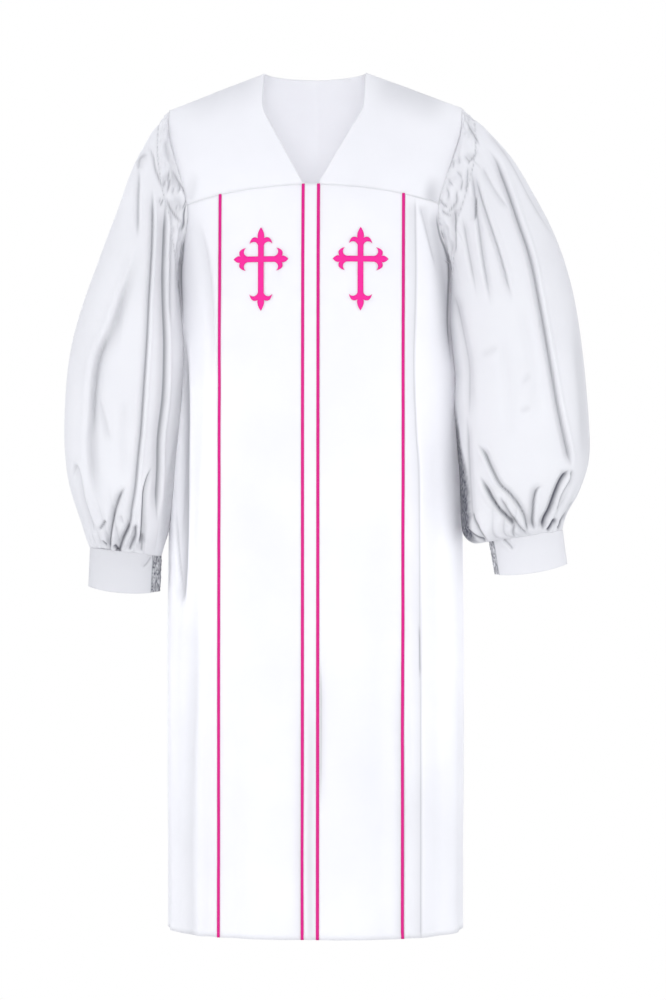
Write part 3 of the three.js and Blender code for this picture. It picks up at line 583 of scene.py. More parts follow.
def polyester_relief(material, place):
    """The tooth of the weave, over the pressed ripples."""
    cut = add(material, "ShaderNodeUVMap", {"uv_map": "cut"}).outputs["UV"]
    threads = {"Scale": wave_scale(2 * DRAWN_THREAD), "Distortion": 0.4}
    warp = add(material, "ShaderNodeTexWave", {"bands_direction": "X", **threads}, {"Vector": cut})
    weft = add(material, "ShaderNodeTexWave", {"bands_direction": "Y", **threads}, {"Vector": cut})
    crossing = {0: warp.outputs["Fac"], 1: weft.outputs["Fac"]}
    weave = add(material, "ShaderNodeMath", {"operation": "MULTIPLY"}, crossing)
    tooth = add(
        material,
        "ShaderNodeBump",
        {"Strength": 0.25, "Distance": 0.12 * MM},
        {"Height": weave.outputs["Value"]},
    )
    ripples = {"Scale": noise_scale(PRESSED_RIPPLE), "Detail": 4, "Roughness": 0.55, "Distortion": 0.4}
    pressed = add(material, "ShaderNodeTexNoise", ripples, {"Vector": place})
    relief = add(
        material,
        "ShaderNodeBump",
        {"Strength": 0.35, "Distance": 1.2 * MM},
        {"Height": pressed.outputs["Fac"], "Normal": tooth.outputs["Normal"]},
    )
    return relief.outputs["Normal"]


def white_polyester():
    material, shader = new_material("white_peachskin_polyester")
    place = add(material, "ShaderNodeTexCoord", {}).outputs["Object"]
    surface = {"Color": polyester_colour(material, place), "Normal": polyester_relief(material, place)}
    links = material.node_tree.links
    links.new(surface["Color"], shader.inputs["Base Color"])
    links.new(surface["Normal"], shader.inputs["Normal"])
    shader.inputs["Roughness"].default_value = 0.55
    shader.inputs["Specular IOR Level"].default_value = 0.35
    shader.inputs["Sheen Weight"].default_value = 0.12
    shader.inputs["Sheen Roughness"].default_value = 0.45
    through = add(material, "ShaderNodeBsdfTranslucent", {}, surface)
    both = {1: shader.outputs["BSDF"], 2: through.outputs["BSDF"]}
    thin = add(material, "ShaderNodeMixShader", {"Fac": LIGHT_THROUGH}, both)
    links.new(thin.outputs["Shader"], material.node_tree.nodes["Material Output"].inputs["Surface"])
    return material


WHITE = white_polyester()
print("made", WHITE.name)

# %% [markdown]
# ## Pink polyester satin
# Satin shows long floats of thread, so it is brighter and glossier than the robe. On the piping
# it is wound on the slant around a cord, and on the crosses it is dense embroidery. Its threads
# are too fine to show as well, and are drawn as coarse as they need to be.

# %% Pink polyester satin
SATIN_PATCH = 11.1  # mm across a patch of slightly darker pink
PIPING_THREAD, CROSS_THREAD = 1.6, 1.2  # mm, as they are drawn


def pink_satin(name, colour, shadow, direction, thread):
    material, shader = new_material(name)
    place = add(material, "ShaderNodeTexCoord", {}).outputs["Object"]
    rows = {"bands_direction": direction, "Scale": wave_scale(thread), "Distortion": 1.5}
    floats = add(material, "ShaderNodeTexWave", rows, {"Vector": place})
    patches = {"Scale": noise_scale(SATIN_PATCH), "Detail": 3}
    tone = add(material, "ShaderNodeTexNoise", patches, {"Vector": place})
    pinks = {"data_type": "RGBA", "A": linear(colour), "B": linear(shadow)}
    pink = add(material, "ShaderNodeMix", pinks, {"Factor": tone.outputs["Fac"]})
    height = {"Strength": 0.5, "Distance": 0.2 * MM}
    relief = add(material, "ShaderNodeBump", height, {"Height": floats.outputs["Fac"]})
    links = material.node_tree.links
    links.new(pink.outputs["Result"], shader.inputs["Base Color"])
    links.new(relief.outputs["Normal"], shader.inputs["Normal"])
    shader.inputs["Roughness"].default_value = 0.5
    shader.inputs["Specular IOR Level"].default_value = 0.16
    shader.inputs["Sheen Weight"].default_value = 0.02
    return material


PIPING_PINK = pink_satin("pink_satin_piping", "#D21A82", "#C41678", "DIAGONAL", PIPING_THREAD)
CROSS_PINK = pink_satin("pink_satin_embroidery", "#E82694", "#DE2289", "X", CROSS_THREAD)
print("made", PIPING_PINK.name, "and", CROSS_PINK.name)

# %% [markdown]
# ## The front panels, placket and side fronts
# These hang straight from the yokes to the hem. The panels beside the closing are flat and hide
# their hem. The side fronts are wider than the place they are sewn into, so they fall in one soft
# pleat beside the outer piping and in a few loose folds below the arm. The first crease of the
# list is that pleat, the next is painted shade on its darkest stretch, and the third is the deep
# fold that hangs from the right armhole. Every row also paints shade along its path, and a few
# have almost no depth and are painted shadow lines or painted shade only.

# %% Creases of the front, as the picture shows them
FRONT_CREASES = [
    fold("415,196 416,280 414,364 416,430 419,480 420,600 421,780 421,941",
         1.2, 2.2, 13, roll=0, ends=(0.02, 0.01), dark=0.32),
    fold("419,615 420,650 420.5,688", 0.8, 2, 4, roll=0, ends=(0.3, 0.3), dark=0.6),
    fold("183.5,318 187,385 187.5,440 187,500 185.5,560 183,604",
         5, 2.6, 7, roll=0.4, ends=(0.3, 0.05), dark=0.5, veil=0.42),
    fold("175.6,500 178,550 182,606", 2, 2, 3, leans=-1, roll=0.5, ends=(0.4, 0.1), dark=0.3),
    fold("196,214 207,262 213,330 214,400", 2.5, 4, 9, ends=(0.2, 0.5), dark=0),
    fold("434,208 441,250 448,300 455,372", 3.5, 5, 14, roll=0.2, ends=(0.1, 0.3), dark=0, veil=0.16),
    fold("420,204 428,232 440,276",
         2.5, 3, 9, leans=-1, roll=0.2, ends=(0.1, 0.3), dark=0.22, veil=0.15),
    # the next two are painted shadow lines where the sleeves lie against the body, with almost no depth
    fold("436,210 441,235 445.5,250 448.5,264 449.5,290 450,330 452,372",
         0.5, 2, 4, roll=0, ends=(0.1, 0.3), dark=0.6, line=1.2),
    fold("187,208 184.5,232 183,256 181.5,272 182,300 184,330",
         0.5, 2, 4, leans=-1, roll=0, ends=(0.1, 0.3), dark=0.6, line=1.2),
    # painted shade down the lower placket, over a shallow trough
    fold("310,660 311,760 310,850 311,941", 0.8, 6, 6, roll=0, ends=(0.4, 0.02), dark=0.05, veil=0.13),
    fold("320.5,650 321,700 320.5,760 320,815",
         1, 2, 6, leans=-1, roll=0, ends=(0.3, 0.3), dark=0.3, veil=0.08),
    fold("303,640 303,760 302,860 303,941", 1.6, 3, 9, roll=0.3, ends=(0.5, 0.02), dark=0),
    fold("404,610 402,700 404,800 403,941", 2, 3, 10, roll=0.3, ends=(0.4, 0.02), dark=0),
    fold("193,560 195,660 192,760 190,860 191,941", 2, 6, 12, ends=(0.4, 0.02), dark=0),
]
print("creases of the front:", len(FRONT_CREASES))

# %% [markdown]
# Hanging cloth is a grid from the yoke seam to the hem. It is pushed along its own normals into
# the creases, and by half a millimetre or so of unevenness, which no hanging cloth is without.

# %% How cloth hangs
SIDE_SEAM = 90 - 0.03  # the bearing of the side seam, in degrees
HANG_ROWS = 140
TOP_ROWS = spread(HANG_ROWS, (0, 0), (0.22, 0.1), (1, 1))
WAVER = [uneven(7, 9, 3), uneven(19, 30, 4)]
WAVER_HALF, WAVER_TOP, WAVER_LENGTH = 300, 60, 1400  # mm, the place that the unevenness covers


def hang_z(seam, x, down):
    return mix(seam_z(seam, x) - SEAM / 2, HEM_Z, down)


def edge_round(z, face):
    """The bearing at which the body ends: at the armhole, or below it at the side seam."""
    armhole = round_of(read(ARMHOLE, "z", face, z), z)
    return np.where(z <= UNDERARM_Z, SIDE_SEAM, np.minimum(SIDE_SEAM, armhole))


def waver(points, in_front):
    """How far uneven cloth stands out, in mm."""
    u = (points[..., 0] + WAVER_HALF) / (2 * WAVER_HALF)
    v = (WAVER_TOP - points[..., 2]) / WAVER_LENGTH
    large, small = (unevenness(u if in_front else 1 - u, v) for unevenness in WAVER)
    return 0.8 * large + 0.3 * small


def hanging_piece(name, points, cut, in_front=True, creases=FRONT_CREASES):
    """Finishes a grid of cloth that hangs from a yoke seam."""
    middle = np.array([0, 0, points[..., 2].mean()])
    normals = outward_normals(points, middle)
    height, shade = add_creases(points, normals, creases, in_front)
    height = height + waver(points, in_front)
    piece = cloth_piece(name, points + normals * height[..., None], shade, middle, cut)
    piece.data.materials.append(WHITE)
    return piece


print("rows of a hanging piece:", HANG_ROWS)

# %% [markdown]
# The side front stops at the armhole above and at the side seam below, so its outer edge moves
# with the height. Its inner columns stay put, and only the outer ones stretch. The placket lies
# over the closing and hides it, so it stands a little higher than the panels.

# %% The panels, the side fronts and the placket
HANDS = {"left": 1, "right": -1}
PLACKET_LIFT = 0.7
PANEL_START = INNER_PIPING_X + 0.6
PANEL_END = OUTER_PIPING_X - 0.6
PLACKET_HALF = INNER_PIPING_X - 0.6
BODY_LENGTH = 1.14  # metres from the yoke seam to the hem
PANEL_COLUMNS, PLACKET_COLUMNS, SIDE_COLUMNS, BACK_COLUMNS = 56, 12, 95, 230
STEADY = {"front": 52, "back": 56}  # the bearings, in degrees, up to which the columns stay put
SETTLING_ROUNDS = 12  # a place and its height depend on each other, and settle in these rounds


def bearing_in(share, face, z):
    """Bearings that stay put up to a steady one, and then stretch to an edge that moves."""
    steady, edge = STEADY[face], edge_round(z, face)
    inner = share * SIDE_SEAM
    outer = mix(steady, edge, (inner - steady) / (SIDE_SEAM - steady))
    return np.where(inner < steady, inner, outer)


def front_strip(from_x, to_x, columns, lift=0):
    u, v = np.meshgrid(np.linspace(0, 1, columns + 1), TOP_ROWS)
    x = mix(from_x, to_x, u)
    z = hang_z(FRONT_SEAM, x, v)
    return body_point(round_of(x, z), z, lift)


def side_strip(side):
    """The side front, from the outer piping to the armhole and the side seam."""
    u, v = np.meshgrid(np.linspace(0, 1, SIDE_COLUMNS + 1), TOP_ROWS)
    start_x = OUTER_PIPING_X + PIPING_WIDTH / 2 + SEAM
    z = hang_z(FRONT_SEAM, 0, v)
    for _ in range(SETTLING_ROUNDS):
        share = mix(round_of(start_x, z) / SIDE_SEAM, 1, u)
        bearing = bearing_in(share, "front", z)
        x = half_at(z) * power(np.abs(np.sin(np.radians(bearing))), 2 / OVAL_POWER)
        z = hang_z(FRONT_SEAM, x, v)
    return body_point(side * bearing, z)


for hand, side in HANDS.items():
    strip = front_strip(side * PANEL_START, side * PANEL_END, PANEL_COLUMNS)
    panel = hanging_piece(f"panel_{hand}", strip, (0.128, BODY_LENGTH))
    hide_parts(f"front_panel_{hand}")
    side_front = hanging_piece(f"side_cloth_{hand}", side_strip(side), (0.19, BODY_LENGTH))
    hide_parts(f"side_front_{hand}")

strip = front_strip(-PLACKET_HALF, PLACKET_HALF, PLACKET_COLUMNS, PLACKET_LIFT)
placket = hanging_piece("placket_cloth", strip, (0.024, BODY_LENGTH))
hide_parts("placket")

# %% [markdown]
# ## The back
# The back is one wide piece, gathered into the back yoke in even flutes that grow towards the hem.
# Small pleats fill the first hand's width below the yoke, where the fullness is eased in.

# %% The back
# the depth of a pleat, the width of its soft side, the way it leans, and its path
BACK_PLEATS = [
    (4, 8, 1, "240,150 236,220 238,300"),
    (5, 9, -1, "262,148 262,240 258,360"),
    (5, 10, 1, "290,147 292,260 296,420"),
    (4, 8, -1, "318,146 316,230 318,330"),
    (5, 10, -1, "344,147 346,250 342,400"),
    (4, 8, 1, "372,148 374,220 372,310"),
    (5, 9, 1, "398,150 402,240 400,360"),
    (5, 9, -1, "214,156 212,250 206,380"),
]


def back_grid():
    u, v = np.meshgrid(np.linspace(-1, 1, BACK_COLUMNS + 1), TOP_ROWS)
    z = hang_z(BACK_SEAM, 0, v)
    for _ in range(SETTLING_ROUNDS):
        bearing = 180 - np.sign(u) * bearing_in(np.abs(u), "back", z)
        x = half_at(z) * power(np.abs(np.sin(np.radians(bearing))), 2 / OVAL_POWER)
        z = hang_z(BACK_SEAM, x, v)
    return body_point(bearing, z)


back_creases = [fold(path, depth, 3, soft, leans) for depth, soft, leans, path in BACK_PLEATS]
back = hanging_piece("back_cloth", back_grid(), (0.66, 1.15), in_front=False, creases=back_creases)
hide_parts("back")

# %% [markdown]
# ## The yokes
# Each yoke is cut on its own and carries the cloth below it. It is sewn over the panels, so its
# lower edge lies a little proud of them and hides the join, and it is topstitched there.

# %% The yokes
YOKE_PROUD = 0.9
YOKE_LAP = 1.6  # how far the yoke reaches down over the panels
ARMHOLE_LAP = 1.1  # how far it reaches over the seam of the sleeve
YOKE_WALL = 1.6  # mm, as the yokes are cut double
NECK_DIP = 2  # mm that the back of the neck lies below the shoulder points
FRONT_YOKE_ROWS, BACK_YOKE_ROWS = 72, 60
NECK_COLUMNS, SHOULDER_COLUMNS = 20, 30  # of half the back yoke
YOKE_ROUNDS = 16  # the places of a yoke settle in these rounds


def front_yoke_grid(side):
    even = np.linspace(0, 1, FRONT_YOKE_ROWS + 1)
    u, v = np.meshgrid(even, even)
    x = np.full(u.shape, float(NECK_HALF))
    for _ in range(YOKE_ROUNDS):
        low = climb_to(x, seam_z(FRONT_SEAM, x) - YOKE_LAP)
        climb = mix(low, climb_to_ridge(x, True), v)
        z = yoke_point(x, climb, True)[..., 2]
        x = mix(neck_x(z), read(ARMHOLE, "z", "front", z) + ARMHOLE_LAP, u)
    return yoke_point(side * x, climb, True)


def back_yoke_grid():
    neck, shoulder = np.linspace(0, 1, NECK_COLUMNS + 1), np.linspace(1, 2, SHOULDER_COLUMNS + 1)
    half = np.concatenate([neck[1:], shoulder[1:]])
    across = np.concatenate([-half[::-1], [0], half])
    u, v = np.meshgrid(across, np.linspace(0, 1, BACK_YOKE_ROWS + 1))
    x = np.zeros(u.shape)
    for _ in range(YOKE_ROUNDS):
        low = climb_to(x, seam_z(BACK_SEAM, x) - YOKE_LAP)
        neck_edge = NECK_Z - NECK_DIP * (1 - np.minimum(1, np.abs(x) / NECK_HALF) ** 4)
        ridge = climb_to_ridge(x, False)
        high = np.where(np.abs(x) < NECK_HALF, np.minimum(ridge, climb_to(x, neck_edge)), ridge)
        climb = mix(low, high, v)
        reach = read(ARMHOLE, "z", "back", yoke_point(x, climb, False)[..., 2]) + ARMHOLE_LAP
        beyond = np.abs(u) - 1
        x = np.sign(u) * np.where(beyond < 0, NECK_HALF * np.abs(u), mix(NECK_HALF, reach, beyond))
    return yoke_point(x, climb, False)


YOKE_CREASES_AND_SHADE = [
    # painted shade near the corner of the right armhole, over a shallow crease
    fold("433,204 431,192 434,172", 2, 9, 12, ends=(0.02, 0.7), dark=0, veil=0.22),
    # the next two have no depth: they only paint shade along the top of each shoulder
    fold("366,78 400,90 452,112", 0, 28, 28, ends=(0.3, 0.3), dark=0, veil=0.12),
    fold("178,108 226,90 264,78", 0, 28, 28, ends=(0.3, 0.3), dark=0, veil=0.07),
    fold("190,201 194,186 196,168", 1.4, 5, 10, leans=-1, ends=(0.1, 0.6), dark=0, veil=0.08),
]


def yoke_piece(name, points, cut, in_front):
    middle = np.array([points[..., 0].mean() * 0.5, 0, ARCH_Z])
    normals = outward_normals(points, middle)
    height, shade = add_creases(points, normals, YOKE_CREASES_AND_SHADE if in_front else [], in_front)
    height = height + YOKE_PROUD + waver(points, in_front)
    points = points + normals * height[..., None]
    piece = cloth_piece(name, points, shade, middle, cut, wall=YOKE_WALL)
    piece.data.materials.append(WHITE)
    return piece


for hand, side in HANDS.items():
    yoke = yoke_piece(f"yoke_{hand}", front_yoke_grid(side), (0.24, 0.24), True)
    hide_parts(f"front_yoke_{hand}")
back_yoke = yoke_piece("yoke_back", back_yoke_grid(), (0.48, 0.24), False)
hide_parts("back_yoke")
print("yokes made")

# %% [markdown]
# ## The sleeves
# A sleeve is a tube, cut much wider than the arm. Its top is shirred: rows of gathering thread pull
# a band of it into small puckers at the armhole, and below the band the fullness springs out in
# narrow pleats that run into long folds. Its foot is gathered again into the cuff, and the cloth
# bags over it. The form of the tube comes from a few sections between its outer and inner edge.

# %% The form of the sleeves
SLEEVE_OVAL_POWER = 2.3
SLEEVE_GAP = 0.8
ARMHOLE_TOP_X = 226
SECTION = "at outX outZ inX inZ middle front back oval"
SLEEVES = {
    "right": table(
        SECTION,
        (0, 226.7, -20, 212.7, -261.6, 0, 68, 62, 0),
        (0.04, 245, -50, 216, -283, -2, 73, 66, 0.12),
        (0.08, 262, -86, 210, -308, -6, 88, 76, 0.5),
        (0.16, 289, -138, 200, -345, -12, 98, 82, 0.9),
        (0.28, 323, -222, 194, -395, -18, 102, 86, 1),
        (0.42, 356, -318, 196, -450, -24, 103, 88, 1),
        (0.56, 379, -418, 203, -510, -30, 102, 90, 1),
        (0.7, 386, -515, 210, -570, -36, 100, 90, 1),
        (0.82, 378, -598, 217, -625, -40, 92, 84, 1),
        (0.92, 356, -664, 226, -676, -43, 68, 64, 1),
        (1, 344, -699, 235, -710, -45, 32, 32, 1),
    ),
    "left": table(
        SECTION,
        (0, 226.7, -20, 212.7, -261.6, 0, 68, 62, 0),
        (0.04, 248, -47, 216, -283, -2, 73, 66, 0.12),
        (0.08, 278, -76, 212, -308, -5, 86, 76, 0.5),
        (0.16, 317, -122, 208, -345, -9, 96, 84, 0.9),
        (0.28, 362, -206, 212, -398, -15, 101, 88, 1),
        (0.42, 394, -300, 220, -455, -21, 103, 92, 1),
        (0.56, 411, -400, 227, -515, -27, 104, 94, 1),
        (0.7, 421, -505, 233, -575, -33, 103, 94, 1),
        (0.8, 422, -565, 235, -625, -37, 97, 90, 1),
        (0.88, 407, -612, 237, -665, -40, 82, 78, 1),
        (0.95, 388, -646, 245, -688, -43, 58, 54, 1),
        (1, 380, -672, 268, -686, -44, 32, 32, 1),
    ),
}


def armhole_point(turn):
    """The armhole seam at a turn around the arm: 0 at the shoulder, 90 in front, 180 below."""
    z = mix(UNDERARM_Z, ridge_z(ARMHOLE_TOP_X), (1 + np.cos(np.radians(turn))) / 2)
    in_front = np.sin(np.radians(turn)) >= 0
    x = np.where(in_front, read(ARMHOLE, "z", "front", z), read(ARMHOLE, "z", "back", z))
    share = np.clip(x / half_at(z), 0, 1)
    depth = body_depth(x, z, in_front) * (1 - share**OVAL_POWER) ** (1 / OVAL_POWER)
    return np.stack([np.minimum(x, half_at(z)), np.where(in_front, -depth, depth), z], -1)


def sleeve_form(sections, turn, t):
    """The plain form of a sleeve, before it is gathered: it starts as the armhole."""
    get = {column: read(sections, "at", column, t) for column in sections}
    up, out = np.cos(np.radians(turn)), np.sin(np.radians(turn))
    outer = (1 + power(up, 2 / SLEEVE_OVAL_POWER)) / 2
    forward = power(out, 2 / SLEEVE_OVAL_POWER) * np.where(out >= 0, get["front"], get["back"])
    x, z = mix(get["inX"], get["outX"], outer), mix(get["inZ"], get["outZ"], outer)
    oval = np.stack([x, get["middle"] - forward, z], -1)
    seam = armhole_point(turn + 1) - armhole_point(turn - 1)
    seam /= np.linalg.norm(seam, axis=-1, keepdims=True)
    start = armhole_point(turn) + SLEEVE_GAP * (np.array([1, 0, 0]) - seam * seam[..., :1])
    return mix(start, oval, np.clip(get["oval"], 0, 1)[..., None])


def clear_of_body(points, clearance):
    """Moves points that are inside the body, or too close to it, out to a clearance."""
    x, y, z = np.moveaxis(points, -1, 0)
    in_front = y < 0
    scale = np.ones(x.shape)
    for _ in range(SETTLING_ROUNDS):
        depth = np.maximum(body_depth(x * scale, z, in_front), 0.01)
        share = (np.abs(x) / half_at(z)) ** OVAL_POWER + (np.abs(y) / depth) ** OVAL_POWER
        scale = share ** (-1 / OVAL_POWER)
    bearing = round_of(x * scale, z)
    surface = body_point(np.where(in_front, bearing, 180 - bearing), z, clearance)
    inside = np.hypot(x, y) < np.hypot(surface[..., 0], surface[..., 1])
    return np.where(inside[..., None], surface, points)


print("sleeve sections:", {hand: len(rows["at"]) for hand, rows in SLEEVES.items()})

# %% [markdown]
# The long folds of a sleeve, the creases over its cuff and the main puckers of its band are drawn
# one by one. The strongest ones stand over the cuffs, where the gathers push the cloth together.

# %% Creases of the sleeves, as the picture shows them
RIGHT_SLEEVE_CREASES = [
    fold("140,172 142,162 146,157.5 152,156", 2, 1.6, 6, ends=(0.2, 0.3), dark=0.3),
    fold("141,166 138,200 137.5,240", 3, 2.4, 5, ends=(0.3, 0.3), dark=0.36, line=2.2),
    fold("152,185 153,235 149,300 146,364 142,426 140.7,440 138.6,459 135.7,487 132,509 130,523 "
         "123,540 118.6,553",
         5, 2, 6, ends=(0.08, 0.05), dark=0.55),
    fold("131,518 129,527 123,540 118.6,553", 3, 2, 4, ends=(0.3, 0.02), dark=0.95),
    fold("166,192 165.4,300 165.8,385 161,434 160,469 158,497 156,524",
         7, 2, 11, ends=(0.12, 0.1), dark=0.65),
    fold("173,225 171,330", 3, 2, 5, dark=0.2),
    fold("140.5,240 133,262 123.7,290 111,328 98.4,355 93,385 90.6,418 89,441 91,473 96,500 96,514",
         7, 4, 12, leans=-1, ends=(0.25, 0.2), dark=0.12, veil=0.16),
    fold("111,325 98.4,355 93,385 90.6,418 89.5,445", 3, 1.8, 4, leans=-1, ends=(0.2, 0.3), dark=0.3),
    fold("95,390 103.6,415 111,445", 2, 3, 8, ends=(0.3, 0.3), dark=0.12),
    fold("71,480 74.5,466.5 79,475 83,499.5 94.4,535", 5, 2.4, 6, ends=(0.2, 0.15), dark=0.3),
    fold("127,486 121.4,493 115.7,508.6 112,525.7 110,540 109.3,551",
         6, 1.9, 6, ends=(0.2, 0.05), dark=0.9, line=1.4),
    fold("153.6,465.7 148.6,475.7 144.3,490 143,507 142,525.7 140,545.7",
         6, 2, 6, leans=-1, ends=(0.2, 0.05), dark=0.9, line=1.4),
    fold("138.6,524 135.7,527 135,537 129.3,550", 4, 2, 4, ends=(0.2, 0.05), dark=0.65),
    fold("105.7,520 98.6,531", 3, 2, 4, leans=-1, dark=0.6),
    fold("101.4,541 106,547", 3, 2.4, 4, ends=(0.3, 0.05), dark=0.6),
    fold("113.6,544 118,552", 4, 2, 4, leans=-1, ends=(0.3, 0.05), dark=0.85),
    fold("143,533 141.4,551", 3, 2, 5, ends=(0.3, 0.05)),
    fold("121,515 123.5,524", 1.5, 2, 4, dark=0.2),
    fold("128,250 119,300 116,360", 2, 6, 9, dark=0, veil=0.03),
    fold("127,395 124,440 127,480", 2, 7, 10, leans=-1, dark=0, veil=0.03),
]
LEFT_SLEEVE_CREASES = [
    fold("475,195 475,222", 4, 2, 6, dark=0.6),
    fold("471,165 476,208 482.6,258 492,310", 4, 2.2, 6, leans=-1, dark=0.3),
    fold("474,172 483,204 500,255 513,305", 4, 2.2, 6, dark=0.4),
    fold("481.4,166 497,193.6 511,211", 2, 2, 6, dark=0.2),
    fold("485,148 495.7,160.7 503,176 511.4,198 520,223.6 531,258 541.6,311 552,370 558.4,406 "
         "565.6,440 568,450 570,461 571,468",
         7, 2.2, 8, ends=(0.1, 0.05), dark=0.5),
    fold("481.4,129 508.6,162 534,205 557,246",
         2.4, 3, 9, leans=-1, ends=(0.2, 0.3), dark=0.16, veil=0.03),
    fold("572,300 579,364 584,424 584,480", 3, 8, 10, leans=-1, ends=(0.4, 0.3), dark=0, veil=0.11),
    fold("454,208 455,255", 4, 2.2, 6, dark=0.5),
    fold("453,290 468,364 474,425", 4, 4, 8, leans=-1, dark=0.25),
    fold("462,215 470,262 478,300", 2.5, 2.4, 6, leans=-1, ends=(0.2, 0.4), dark=0.3),
    fold("500,346 490,352 479,356", 1.4, 4, 6, ends=(0.3, 0.4), dark=0, veil=0.08),
    fold("532,372 526,380 520,384", 1.4, 4, 6, ends=(0.3, 0.4), dark=0, veil=0.08),
    fold("532,406 524,410 518,411", 1.4, 3, 6, ends=(0.3, 0.4), dark=0, veil=0.08),
    fold("480,442.5 486,452.5 492,467.5 500,484 510,494 520,507.5 525,517.5 528,532",
         5, 1.8, 6, leans=-1, ends=(0.15, 0.05), dark=0.7, line=1.3),
    fold("482.5,474 490,492.5 496,504 504,514 511,521 516,528",
         6, 2, 6, leans=-1, ends=(0.3, 0.1), dark=1, line=1.4),
    fold("499,495 507.5,510 516,522.5 527.5,535", 4, 2, 5, ends=(0.2, 0.1), dark=0.5),
    fold("515,525 513,532.5 515,537", 2, 2, 3, dark=0.4),
    fold("544,485 537.5,489 534.5,498 533.4,510 532.5,521 534,530",
         5, 2, 7, ends=(0.25, 0.1), dark=0.7, veil=0.16),
    fold("568.8,468.8 561,481 555,495 550,510 545,520 542,531", 7, 2, 6, ends=(0.12, 0.1), dark=1),
    fold("571,469 570,481 562.5,492.5 559,502.5 557,512",
         5, 2.2, 5, leans=-1, ends=(0.15, 0.2), dark=0.9, line=2),
    fold("575,499 570,510 563.8,520 558.8,530", 5, 2.2, 4, ends=(0.25, 0.05), dark=0.75),
    fold("557,518 551,526 547,531", 4, 2.4, 4, ends=(0.3, 0.1), dark=1, line=2.2),
    fold("475.6,510 479,521 485,535 489,541", 4, 2.6, 5, dark=0.6),
    fold("472.5,526 480,536 489,544", 4, 2.4, 4, ends=(0.2, 0.1), dark=0.8),
    fold("471,410 474,470 477,520", 3, 2.4, 5, leans=-1, ends=(0.3, 0.1), dark=0.3),
    fold("520,300 532,360 538,430", 2, 7, 10, dark=0, veil=0.02),
    fold("500,330 508,380 512,440", 2, 7, 10, leans=-1, dark=0, veil=0.02),
]
print("creases of the sleeves:", len(RIGHT_SLEEVE_CREASES), "and", len(LEFT_SLEEVE_CREASES))

# %% [markdown]
# A pucker of the shirred band is short, and only its painted shade and its path differ from the next.
# The folds at the back of a sleeve can't be seen in the picture, so they are plain and even in
# width: each row gives the depth, the width of the soft side, the way it leans, and the path.

# %% Puckers of the bands, and folds at the back
BAND_PUCKERS = {
    "right": [
        (0.45, "170.6,165 178,180 185.6,194 188,201"),
        (0.5, "169.4,166 168.8,177.5 170,181 168,190 165.6,195"),
        (0.45, "149.4,146 153,156 155.6,170 160,181 165,192.5"),
        (0.55, "165.6,195 170,206 176,216 183,225"),
        (0.4, "177.5,181 180,187.5 177,194"),
        (0.5, "185.6,195 186,200 183,207.5 182,211"),
        (0.5, "163.8,197.5 162,202.5 160,205.5"),
        (0.3, "161,197.5 159.5,203"),
        (0.8, "188,201 185,207.5 183.8,216 183.8,225 181,234"),
        (0.35, "166,178 164,186"),
        (0.3, "174,186 173,194"),
        (0.3, "178,203 176,211"),
    ],
    "left": [
        (0.4, "450.7,160.7 438,188 433.6,198 433,204"),
        (0.4, "465,118 470,128 477,140.7 480,148"),
        (0.35, "478.6,150 470,160.7 468.6,166.4"),
        (0.3, "464.3,155 470,162"),
        (0.4, "468,165 467,183.6 464.3,193.6"),
        (0.4, "463,178 460.7,192"),
        (0.45, "457,188 455.7,200.7 451.4,208 445.7,215"),
        (0.3, "455.7,171.4 460,174.3 462,179.3"),
        (0.25, "454.3,159.3 453,169.3"),
        (0.25, "458.6,156.4 460,165"),
        (0.3, "447,178 451.4,183.6 454.3,186.4"),
        (0.3, "445.7,186 448.6,193.6 447,200.7"),
        (0.45, "438.6,198 443,203.6 448.6,208"),
        (0.65, "434.3,207 435.7,219.3 439.3,223.6 443.6,225.7"),
        (0.75, "439.5,226 443,240 443.6,258"),
        (0.4, "440,209.3 448.6,215 452,212"),
    ],
}
BACK_SLEEVE_FOLDS = {
    "right": [
        (7, 10, 1, "132,160 128,260 116,380 104,480"),
        (8, 11, -1, "150,190 150,300 142,420 128,540"),
        (6, 8, 1, "164,220 162,320 158,430 150,540"),
        (5, 9, -1, "112,220 92,330 82,430"),
        (6, 7, 1, "88,450 96,500 108,550"),
        (6, 7, -1, "120,490 118,520 122,552"),
    ],
    "left": [
        (7, 10, -1, "484,160 494,260 516,380 532,480"),
        (8, 11, 1, "468,190 474,300 488,420 508,520"),
        (5, 9, 1, "510,190 534,290 548,400"),
        (6, 8, -1, "462,240 466,340 476,440 490,520"),
        (6, 7, -1, "568,440 558,490 540,530"),
        (6, 7, 1, "520,480 524,505 526,532"),
    ],
}
PUCKER = {"depth": 1.6, "steep": 1.4, "soft": 3, "roll": 0.6, "ends": (0.3, 0.3), "veil": 0.12, "line": 1.2}
SLEEVE_CREASES = {"right": RIGHT_SLEEVE_CREASES, "left": LEFT_SLEEVE_CREASES}
back_sleeve_creases = {}
for hand, rows in SLEEVE_CREASES.items():
    rows += [fold(path, dark=dark, **PUCKER) for dark, path in BAND_PUCKERS[hand]]
    back_sleeve_creases[hand] = [
        fold(path, depth, 5, soft, leans, dark=0.3, line=4.5)
        for depth, soft, leans, path in BACK_SLEEVE_FOLDS[hand]
    ]
print("with the puckers:", {hand: len(rows) for hand, rows in SLEEVE_CREASES.items()})

# %% [markdown]
# The smaller pleats and gathers are too many to place by hand, so they follow a rule that is made
# uneven by smooth noise: their spacing drifts, and each has its own depth and length. Between two
# pleats the cloth closes to a thin line, so a pleat is round on top and sharp at its foot.

# %% How a sleeve is gathered
BAND = 48  # mm from the armhole seam to the second row of gathering, in front
BAND_TOP = 26  # mm, the same on the shoulder
FIRST_ROW = 1.2  # mm from the armhole seam to the first row
ARMHOLE_LENGTH = 560
HEAD_PLEATS, CUFF_PLEATS = 44, 23
DASH = 6  # mm from one gathering stitch to the next


